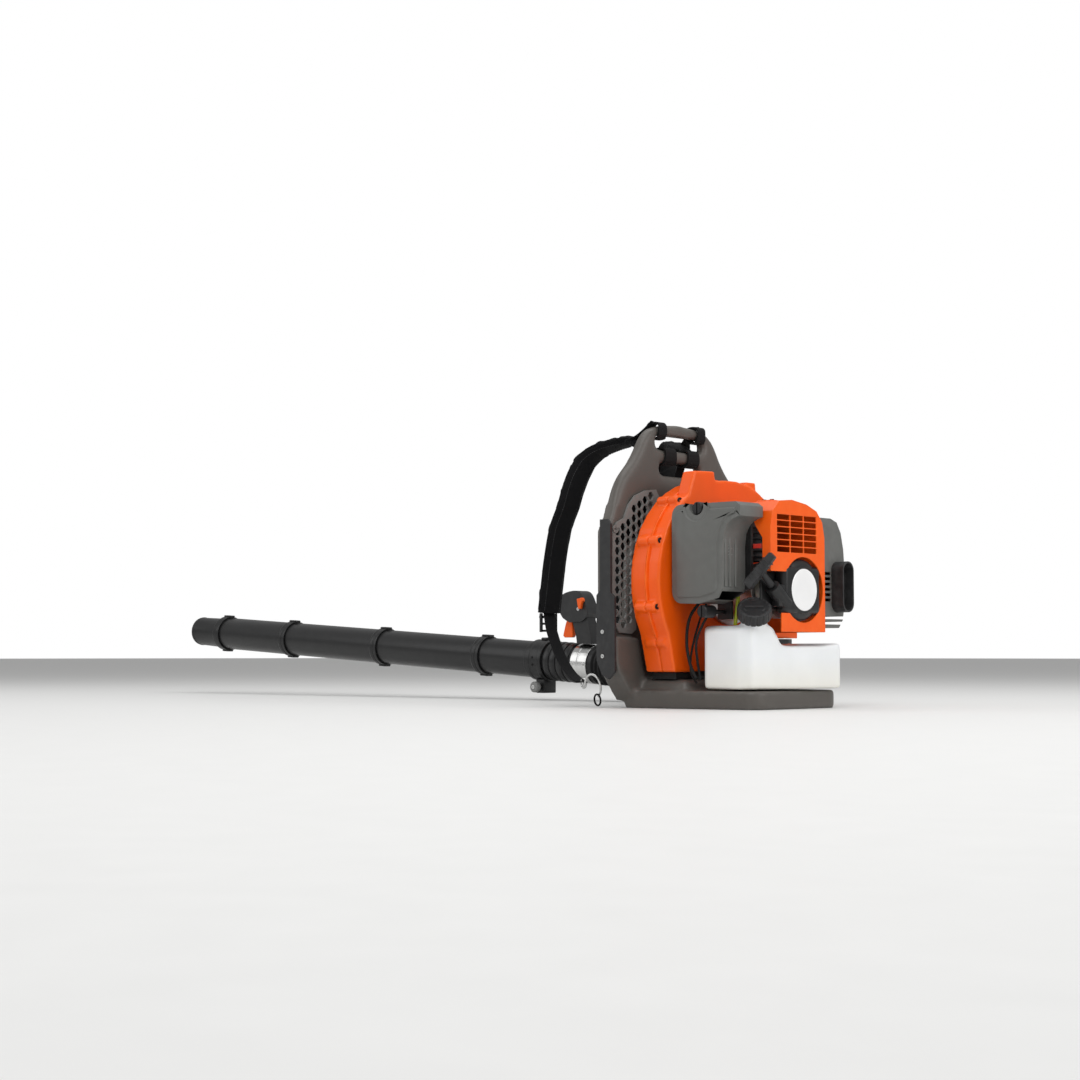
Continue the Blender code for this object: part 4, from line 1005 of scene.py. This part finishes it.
def makeSwivelKnob():
    place = Vector(joints["collar_knob_turn"]["pos_m"])
    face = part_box("swivel_knob")[0].y
    depth = place.y - face
    profile = [(0, depth), (0.0042, depth), (0.0046, depth - 0.0012), (0.0085, depth - 0.0012),
               (0.0108, depth - 0.003), (0.0110, 0.006), (0.0070, 0.0), (0, 0.0)]
    start = Vector((place.x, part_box("swivel_knob")[1].y, 0.0255))
    profile = [(r, a + (start.y - place.y)) for r, a in profile]
    knob = turnedPiece("swivel_knob_skin", profile, start, (0, -1, 0), "knob_grey", "collar_knob",
                       0.0006, 72, False, 12, 0.0007)
    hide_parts("swivel_knob")
    middle = Vector((place.x, face + 0.0008, 0.0255))
    makeScrews("collarKnobScrew", [(middle, (0, -1, 0))], 0.0040, "paleScrew", "collar_knob")


def makeBellows():
    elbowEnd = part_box("bellows_rear")[1].x
    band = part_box("bellows_band")
    runs = [
        ("bellows_rear", Vector((elbowEnd, tubeRoot.y, tubeRoot.z)),
         Vector((band[1].x, tubeRoot.y, tubeRoot.z)), 7, "frame", "duct_middle"),
        ("bellows_front", alongTube(0.0096), alongTube(0.1552), 15, "duct_middle", "blow_tube"),
    ]
    for name, start, end, ribs, near, far in runs:
        way = (end - start).normalized()
        piece = runTree(ribbed, name + "_skin", bpy.data.meshes.new(name + "_skin"),
                        {"Length": (end - start).length, "Radius": 0.0394, "Depth": 0.0048,
                         "Ribs": float(ribs), "Rows": ribs * 12}, "black_rubber")
        wall = piece.modifiers.new("wall", "SOLIDIFY")
        wall.thickness, wall.offset = 0.0016, -1
        settle(piece)
        turn = way.to_track_quat("Z", "Y").to_matrix().to_4x4()
        piece.data.transform(Matrix.Translation((start + end) / 2) @ turn)
        markEdges(piece.data)
        shade(piece, 60)
        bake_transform(piece, near, far, start=start, end=end)
        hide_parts(name)
    profile = [(0.0392, -0.0060), (0.0405, -0.0048), (0.0405, 0.0048), (0.0392, 0.0060),
               (0.0335, 0.0060), (0.0335, -0.0060)]
    ring = turnedPiece("bellows_band_skin", profile, tubeRoot, (-1, 0, 0), "black_plastic",
                       "duct_middle", 0.0006, 96, True)
    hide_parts("bellows_band")


makeTubes()
makeControlTube()
makeSwivelKnob()
makeBellows()
print("blow tube done")


# starter, cap and control handle
ropeWay = Vector(joints["starter_pull"]["axis"]).normalized()
ropeStart = Vector((0.1440, -0.052, 0.1815))
gripSetup = {"reach": 0.039, "stemFrom": 0.0305, "half": 0.034, "lean": (0.66, 0.14, 0.73)}


def makeStarterGrip():
    stemStart = ropeStart + ropeWay * gripSetup["stemFrom"]
    middle = stemStart + ropeWay * gripSetup["reach"]
    lean, half = Vector(gripSetup["lean"]).normalized(), gripSetup["half"]
    shape = bmesh.new()
    turn = lean.to_track_quat("X", "Z").to_matrix().to_4x4()
    size = Vector((half, 0.0068, 0.0088))
    bar = blockShape(shape, middle - size, middle + size, turn)
    for vertex in bar:
        along = (vertex.co - middle).dot(lean) / half
        vertex.co -= (vertex.co - middle - lean * along * half) * 0.25 * max(0, along)
    for k in range(6):
        spot = middle + lean * (0.008 * k - 0.020)
        rib = Vector((0.0012, 0.0074, 0.0092))
        blockShape(shape, spot - rib, spot + rib, turn)
    bmesh.ops.bevel(shape, geom=shape.edges[:], offset=0.0011, segments=3, affect="EDGES")
    stem = [(0, 0.0004), (0.0056, 0.0004), (0.0066, 0.003), (0.0060, 0.012), (0.0052, 0.022),
            (0.0064, gripSetup["reach"]), (0, gripSetup["reach"])]
    turnedShape(shape, softProfile(stem, 0.0010, 2, False), stemStart, ropeWay, 32)
    grip = finishPiece("starter_handle_skin", shape, "charcoal", "starter_grip")
    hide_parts("starter_handle")
    shape = bmesh.new()
    path = [ropeStart + ropeWay * (-0.010 + 0.0403 * k / 60) for k in range(61)]
    tubeShape(shape, path, 0.0016, 10)
    rope = finishPiece("starter_rope_skin", shape, "velcro", None, edges=False)
    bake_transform(rope, "frame", "starter_grip", start=path[0], end=path[-1])
    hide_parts("starter_rope")


def makeStarterBody():
    centre = (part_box("starter_badge")[0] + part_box("starter_badge")[1]) / 2
    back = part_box("starter_badge")[0].x
    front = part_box("starter_badge")[1].x
    badge = [(0, front - back), (0.0334, front - back), (0.0350, front - back - 0.0008), (0.0350, 0), (0, 0)]
    disc = turnedPiece("starter_badge_skin", badge, (back, centre.y, centre.z), (1, 0, 0), "badge_white",
                       "frame", 0.0004, 96)
    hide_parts("starter_badge")
    rim = [(0.0354, 0.0), (0.0378, 0.0006), (0.0400, 0.0), (0.0400, -0.002), (0.0354, -0.002)]
    turnedPiece("badgeRim", rim, (back + 0.0006, centre.y, centre.z), (1, 0, 0), "black_plastic",
                "frame", 0.0004, 96, True)
    softBlocks("starterRecess", [((0.1270, -0.0885, 0.1640), (0.1315, -0.0150, 0.2270))],
               "black_plastic", "frame", 0.0015)
    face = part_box("engine_shroud")[1].x
    softBlocks("starterCowl", [((0.1290, centre.y - 0.0530, centre.z - 0.0420),
                                (face + 0.0012, centre.y + 0.0480, centre.z + 0.0400))],
               "black_plastic", "frame", 0.0100, 6)


def makeFuelCap():
    place = Vector(joints["fuel_cap_turn"]["pos_m"])
    way = Vector(joints["fuel_cap_turn"]["axis"]).normalized()
    shape = bmesh.new()
    profile = [(0, 0), (0.0270, 0), (0.0285, 0.0022), (0.0283, 0.0175), (0.0268, 0.0200), (0.0240, 0.0208),
               (0.0232, 0.0196), (0, 0.0196)]
    turnedShape(shape, softProfile(profile, 0.0010, 3, False), place, way, 144, False, 16, 0.0016)
    turn = way.to_track_quat("Z", "Y").to_matrix().to_4x4()
    for k in range(3):
        size = Vector((0.0042, 0.0013, 0.0007))
        spot = turn.to_3x3() @ (Matrix.Rotation(2 * pi * k / 3, 3, "Z") @ Vector((0, 0.0170, 0.0200)))
        spin = turn @ Matrix.Rotation(2 * pi * k / 3, 4, "Z")
        blockShape(shape, place + spot - size, place + spot + size, spin)
    size = Vector((0.0150, 0.0024, 0.0010))
    spot = place + turn.to_3x3() @ Vector((0, 0, 0.0202))
    blockShape(shape, spot - size, spot + size, turn)
    cap = finishPiece("fuel_cap_skin", shape, "charcoal", "tank_cap")
    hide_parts("fuel_cap")


def makeHandleTrim():
    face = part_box("control_handle")[0].y
    makeScrews("handleScrew", [((-0.4949, face - 0.0006, 0.1790), (0, -1, 0))], 0.0034, "paleScrew",
               "handle")
    softBlocks("handleMark", [((-0.4975, face - 0.0012, 0.1945), (-0.4925, face + 0.001, 0.1990))],
               "red", "handle", 0.0008)


makeStarterGrip()
makeStarterBody()
makeFuelCap()
makeHandleTrim()
print("starter, cap and handle done")


# straps, wraps, pad and webbing
strapSetup = {"width": 0.054, "thickness": 0.0145}
strapPath = [
    (-0.149, 0.045, 0.449), (-0.160, 0.050, 0.4605), (-0.178, 0.058, 0.4680),
    (-0.2147, 0.085, 0.456), (-0.2370, 0.105, 0.4366), (-0.2480, 0.117, 0.4120),
    (-0.2550, 0.127, 0.3820), (-0.2620, 0.133, 0.3500), (-0.2760, 0.138, 0.3120),
    (-0.2870, 0.140, 0.2600), (-0.2955, 0.140, 0.2080), (-0.3026, 0.140, 0.1640),
]


def flatAcross(part):
    return Vector((0, 1, 0))


def makeShoulderStraps():
    for side, name in ((-1, "left"), (1, "right")):
        path = smoothPath([(x, y * side, z) for x, y, z in strapPath], 16)
        strap = bandPiece("shoulder_strap_%s_pad" % name, path, strapSetup["width"],
                          strapSetup["thickness"], flatAcross, "strapCloth", "frame", 0.8, 0.0021,
                          0.0010, 1.7 * side)
        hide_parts("shoulder_strap_" + name)
        for edge in (-1, 1):
            line, rim = [], []
            for k, point in enumerate(path[3:-3]):
                across = Vector((0, 1, 0))
                ahead = (path[k + 4] - path[k + 2]).normalized()
                across = (across - ahead * across.dot(ahead)).normalized()
                out = across.cross(ahead).normalized()
                rim.append(point + across * edge * (strapSetup["width"] / 2 - 0.0006))
                line.append(point + across * edge * (strapSetup["width"] / 2 - 0.0085)
                            + out * (-1) * (strapSetup["thickness"] / 2 - 0.0006))
            sideName = "inner" if edge < 0 else "outer"
            makeStitches("strapStitches_%s_%s" % (name, sideName), line, "frame")
            shape = bmesh.new()
            tubeShape(shape, rim, 0.0019, 10)
            finishPiece("strapPiping_%s_%s" % (name, sideName), shape, "velcro", "frame",
                        edges=False)
        front = [p + Vector((-0.0105, 0, 0.001)) for p in path[70:156]]
        bandPiece("strapWeb_" + name, front, 0.026, 0.0022, flatAcross, "webbing", "frame")


def makeWebbing():
    left = [(-0.3030, -0.140, 0.166), (-0.2960, -0.1425, 0.1420), (-0.288, -0.145, 0.1243),
            (-0.266, -0.150, 0.089), (-0.237, -0.155, 0.0594), (-0.205, -0.160, 0.042)]
    right = [(-0.303, 0.136, 0.166), (-0.2960, 0.128, 0.1420), (-0.284, 0.110, 0.124),
             (-0.245, 0.098, 0.085), (-0.195, 0.095, 0.055), (-0.145, 0.094, 0.040)]
    for name, points in (("left", left), ("right", right)):
        piece = bandPiece("lower_webbing_%s_strap" % name, smoothPath(points, 10), 0.027, 0.0024,
                          flatAcross, "webbing", "frame")
        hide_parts("lower_webbing_" + name)
    for side, name in ((-1, "left"), (1, "right")):
        over = [(-0.172, side * 0.082, 0.462), (-0.158, side * 0.066, 0.4710),
                (-0.140, side * 0.059, 0.4850), (-0.1265, side * 0.056, 0.4975)]
        bandPiece("topWebbing_" + name, smoothPath(over, 8), 0.020, 0.0022, flatAcross, "webbing",
                  "frame")
        tail = [(-0.1500, side * 0.046, 0.4600), (-0.1410, side * 0.041, 0.4500),
                (-0.1405, side * 0.036, 0.4350), (-0.1420, side * 0.032, 0.4180),
                (-0.1470, side * 0.030, 0.4020)]
        bandPiece("webbingTail_" + name, smoothPath(tail, 8), 0.020, 0.0020, flatAcross, "webbing",
                  "frame")
        buckle = Vector((-0.3030, side * 0.140, 0.1600))
        bars = [((-0.0035, -0.0200, -0.0300 + 0.0125 * k), (0.0015, 0.0200, -0.0262 + 0.0125 * k))
                for k in range(3)]
        bars += [((-0.0035, s * 0.0185 - 0.0022, -0.0305), (0.0015, s * 0.0185 + 0.0022, 0.0030))
                 for s in (-1, 1)]
        softBlocks("buckle_" + name, [(buckle + Vector(a), buckle + Vector(b)) for a, b in bars],
                   "black_plastic", "frame", 0.0009, 2)
        softBlocks("buckleBar_" + name, [(buckle + Vector((-0.0062, -0.0190, -0.0060)),
                                          buckle + Vector((-0.0038, 0.0190, -0.0010)))],
                   "knob_grey", "frame", 0.0009, 2)


def wrapShape(shape, y, half, middleX, middleZ, reach, wall):
    # a hook and loop strap wound once round a bar, with its end lapped over
    turns, ringSteps = 1.12, 60
    rows = []
    for k in range(ringSteps + 1):
        turn = 2 * pi * turns * k / ringSteps - pi / 2
        out = Vector((cos(turn), 0, sin(turn)))
        square = 1.0 / max(abs(out.x) ** 4 + abs(out.z) ** 4, 1e-6) ** 0.25
        lap = 0.0013 * k / ringSteps
        inner = reach * min(square, 1.16) + lap
        row = []
        for depth, side in ((0, -1), (0, 1), (wall, 1), (wall, -1)):
            wave = 0.0004 * sin(turn * 3 + y * 80) * side
            row.append(shape.verts.new(Vector((middleX, y + side * half + wave, middleZ))
                                       + out * (inner + depth)))
        rows.append(row)
    for first, second in zip(rows, rows[1:]):
        for k in range(4):
            after = (k + 1) % 4
            shape.faces.new((first[k], first[after], second[after], second[k]))
    shape.faces.new(rows[0][::-1])
    shape.faces.new(rows[-1])


def makeWraps():
    for name in ("left", "right"):
        low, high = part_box("bar_wrap_" + name)
        shape = bmesh.new()
        wrapShape(shape, (low.y + high.y) / 2, 0.0150, (low.x + high.x) / 2, (low.z + high.z) / 2,
                  0.0119, 0.0030)
        wrap = finishPiece("bar_wrap_%s_strap" % name, shape, "velcro", "frame", 50, False)
        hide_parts("bar_wrap_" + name)
    for side, name in ((-1, "left"), (1, "right")):
        shape = bmesh.new()
        wrapShape(shape, side * 0.0530, 0.0105, -0.1235, 0.4815, 0.0122, 0.0026)
        finishPiece("topWrap_" + name, shape, "velcro", "frame", 50, False)


padSetup = {"voxel": 0.006, "pressure": 4.0, "cap": 0.009, "channels": (0.155, 0.225, 0.300, 0.360)}


def makeBackPad():
    low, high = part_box("back_pad")
    skin = cleanCopy("back_pad", 0.1)
    centre = (low + high) / 2
    for vertex in skin.verts:
        for axis in range(3):
            span = (high - low)[axis] / 2
            vertex.co[axis] = centre[axis] + (vertex.co[axis] - centre[axis]) * (1 - 0.0040 / span)
    mesh = bpy.data.meshes.new("back_pad_cushion")
    skin.to_mesh(mesh)
    skin.free()
    pad = newPiece("back_pad_cushion", mesh, "padCloth")
    remesh = pad.modifiers.new("even", "REMESH")
    remesh.mode, remesh.voxel_size = "VOXEL", padSetup["voxel"]
    settle(pad)
    start = [vertex.co.copy() for vertex in pad.data.vertices]
    cloth = pad.modifiers.new("swell", "CLOTH")
    cloth.settings.use_pressure = True
    cloth.settings.uniform_pressure_force = padSetup["pressure"]
    cloth.settings.effector_weights.gravity = 0
    for step in range(1, 21):
        scene.frame_set(step)
    settle(pad)
    scene.frame_set(1)
    for vertex, before in zip(pad.data.vertices, start):
        moved = vertex.co - before
        if moved.length > padSetup["cap"]:
            vertex.co = before + moved.normalized() * padSetup["cap"]
        vertex.co.x = min(vertex.co.x, high.x - 0.0002)
    for vertex in pad.data.vertices:
        front = max(0.0, min(1.0, (centre.x - vertex.co.x) / 0.012))
        for channel in padSetup["channels"]:
            vertex.co.x += front * 0.0075 * 2.718 ** (-((vertex.co.z - channel) / 0.0055) ** 2)
    finer = pad.modifiers.new("finer", "SUBSURF")
    finer.levels = finer.render_levels = 1
    settle(pad)
    pad.data.shade_smooth()
    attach(pad, "frame")
    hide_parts("back_pad")


def makeHooks():
    # the wire snap hook, a ring at the webbing's end and a black cord loop below
    route = [
        (-0.198, -0.165, 0.041), (-0.190, -0.172, 0.034), (-0.180, -0.178, 0.040),
        (-0.172, -0.181, 0.052), (-0.160, -0.182, 0.056), (-0.149, -0.180, 0.050),
        (-0.146, -0.176, 0.038), (-0.150, -0.171, 0.027), (-0.158, -0.168, 0.018),
    ]
    hook = tubePiece("strap_hook_wire", route, 0.0019, "steel", "frame", 14, 8)
    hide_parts("strap_hook")
    for name, place, radius, finish, slot in (
        ("snapRing", (-0.1985, -0.162, 0.0405), 0.0085, "steel", "steel"),
        ("cordLoop", (-0.158, -0.170, 0.0125), 0.0095, "velcro", "webbing"),
    ):
        shape = bmesh.new()
        points = [(radius + 0.0016 * cos(2 * pi * k / 12), 0.0016 * sin(2 * pi * k / 12)) for k in range(12)]
        turnedShape(shape, points, place, (0.25, 1, 0.1), 40, True)
        finishPiece(name, shape, finish, "frame", edges=False)


makeShoulderStraps()
makeWebbing()
makeWraps()
makeBackPad()
makeHooks()
print("straps, wraps and pad done")


# engine trim, hoses and screws

def makeHoses():
    lines = [
        ("primerHose", [(0.020, -0.110, 0.178), (0.006, -0.121, 0.150), (0.004, -0.126, 0.110),
                        (0.012, -0.127, 0.074), (0.021, -0.122, 0.050)], 0.0026),
        ("ventHose", [(0.046, -0.112, 0.166), (0.034, -0.120, 0.140), (0.021, -0.121, 0.112),
                      (0.020, -0.118, 0.080), (0.022, -0.112, 0.048)], 0.0022),
        ("throttleCable", [(0.030, -0.078, 0.205), (0.012, -0.094, 0.160), (0.004, -0.112, 0.100),
                           (0.006, -0.118, 0.062), (0.014, -0.112, 0.042)], 0.0018),
        ("sparkLead", [(0.045, 0.000, 0.334), (0.052, 0.016, 0.331), (0.056, 0.034, 0.316),
                       (0.054, 0.045, 0.290)], 0.0032),
    ]
    for name, points, radius in lines:
        tubePiece(name, points, radius, "black_rubber", "frame")


def makeEngineTrim():
    softBlocks("chokeScale", [((0.0996, -0.1330, z), (0.1004, -0.1270 + wide, z + 0.0016))
                              for z, wide in ((0.2520, 0.002), (0.2570, 0.0), (0.2620, 0.002), (0.2670, 0.0),
                                              (0.2720, 0.002), (0.2770, 0.0))],
               "badge_white", "frame", 0.0002, 1)
    softBlocks("shroudBracket", [((0.100, -0.060, 0.3330), (0.132, -0.036, 0.3455))],
               "orange", "frame", 0.0025)
    makeScrews("bracketScrews", [((x, -0.0480, 0.3462), (0, 0, 1)) for x in (0.108, 0.124)],
               0.0036, "darkScrew", "frame")
    softBlocks("filterFlutes", [((0.0990, y, 0.2000), (0.1018, y + 0.0065, 0.2900))
                                for y in (-0.1440, -0.1330, -0.1180)],
               "cover_grey", "frame", 0.0013)


def makeCasingTrim():
    # the seam flange between the fan casing's halves, and the screws in its bosses
    centre, reach = Vector((-0.0400, 0, 0.2125)), 0.178
    shape = bmesh.new()
    rows = []
    for k in range(86):
        turn = radians(58 + 2 * k)
        rows.append([shape.verts.new(centre + Vector((x, r * cos(turn), r * sin(turn))))
                     for x, r in ((-0.0028, reach - 0.001), (-0.0022, reach + 0.0026),
                                  (-0.0004, reach + 0.0030), (-0.0002, reach + 0.0012),
                                  (0.0004, reach + 0.0012), (0.0006, reach + 0.0030),
                                  (0.0024, reach + 0.0026), (0.0030, reach - 0.001))])
    for first, second in zip(rows, rows[1:]):
        for k in range(8):
            after = (k + 1) % 8
            shape.faces.new((first[k], first[after], second[after], second[k]))
    shape.faces.new(rows[0][::-1])
    shape.faces.new(rows[-1])
    finishPiece("casingSeam", shape, "orange", "frame", 30)
    places = []
    for turn in (20, 62, 100, 130, 158, 194, 215):
        out = 0.179 + 0.020 * max(0, 1 - turn / 90)
        places.append(((-0.0193, out * cos(radians(turn)), 0.2125 + out * sin(radians(turn))), (1, 0, 0)))
    makeScrews("casingScrews", places, 0.0048, "darkScrew", "frame", 0.0030)


def makeFrameTrim():
    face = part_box("side_guard_left")[0].y
    makeScrews("guardScrews", [((-0.117, face - 0.0002, z), (0, -1, 0)) for z in (0.128, 0.087)], 0.0034,
               "paleScrew", "frame")
    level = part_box("side_grille_left")[1].x
    discs = [((level + 0.0008, side * 0.1795, z), (1, 0, 0)) for side in (-1, 1) for z in (0.302, 0.160)]
    makeScrews("grilleScrews", discs, 0.0068, "grille_grey", "frame", 0.0024)
    softBlocks("muffler_slats", [((0.1368, 0.1085, z), (0.1385, 0.1235, z + 0.0032))
                                 for z in (0.1790, 0.1870, 0.1950, 0.2030, 0.2110, 0.2190)],
               "badge_white", "frame", 0.0004, 1)
    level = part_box("muffler_cover")[1].x + 0.0006
    places = [((level, 0.075, 0.285), (1, 0, 0)), ((level, 0.140, 0.170), (1, 0, 0))]
    makeScrews("coverScrews", places, 0.0036, "darkScrew", "frame")


makeHoses()
makeEngineTrim()
makeCasingTrim()
makeFrameTrim()
print("engine trim, hoses and screws done")
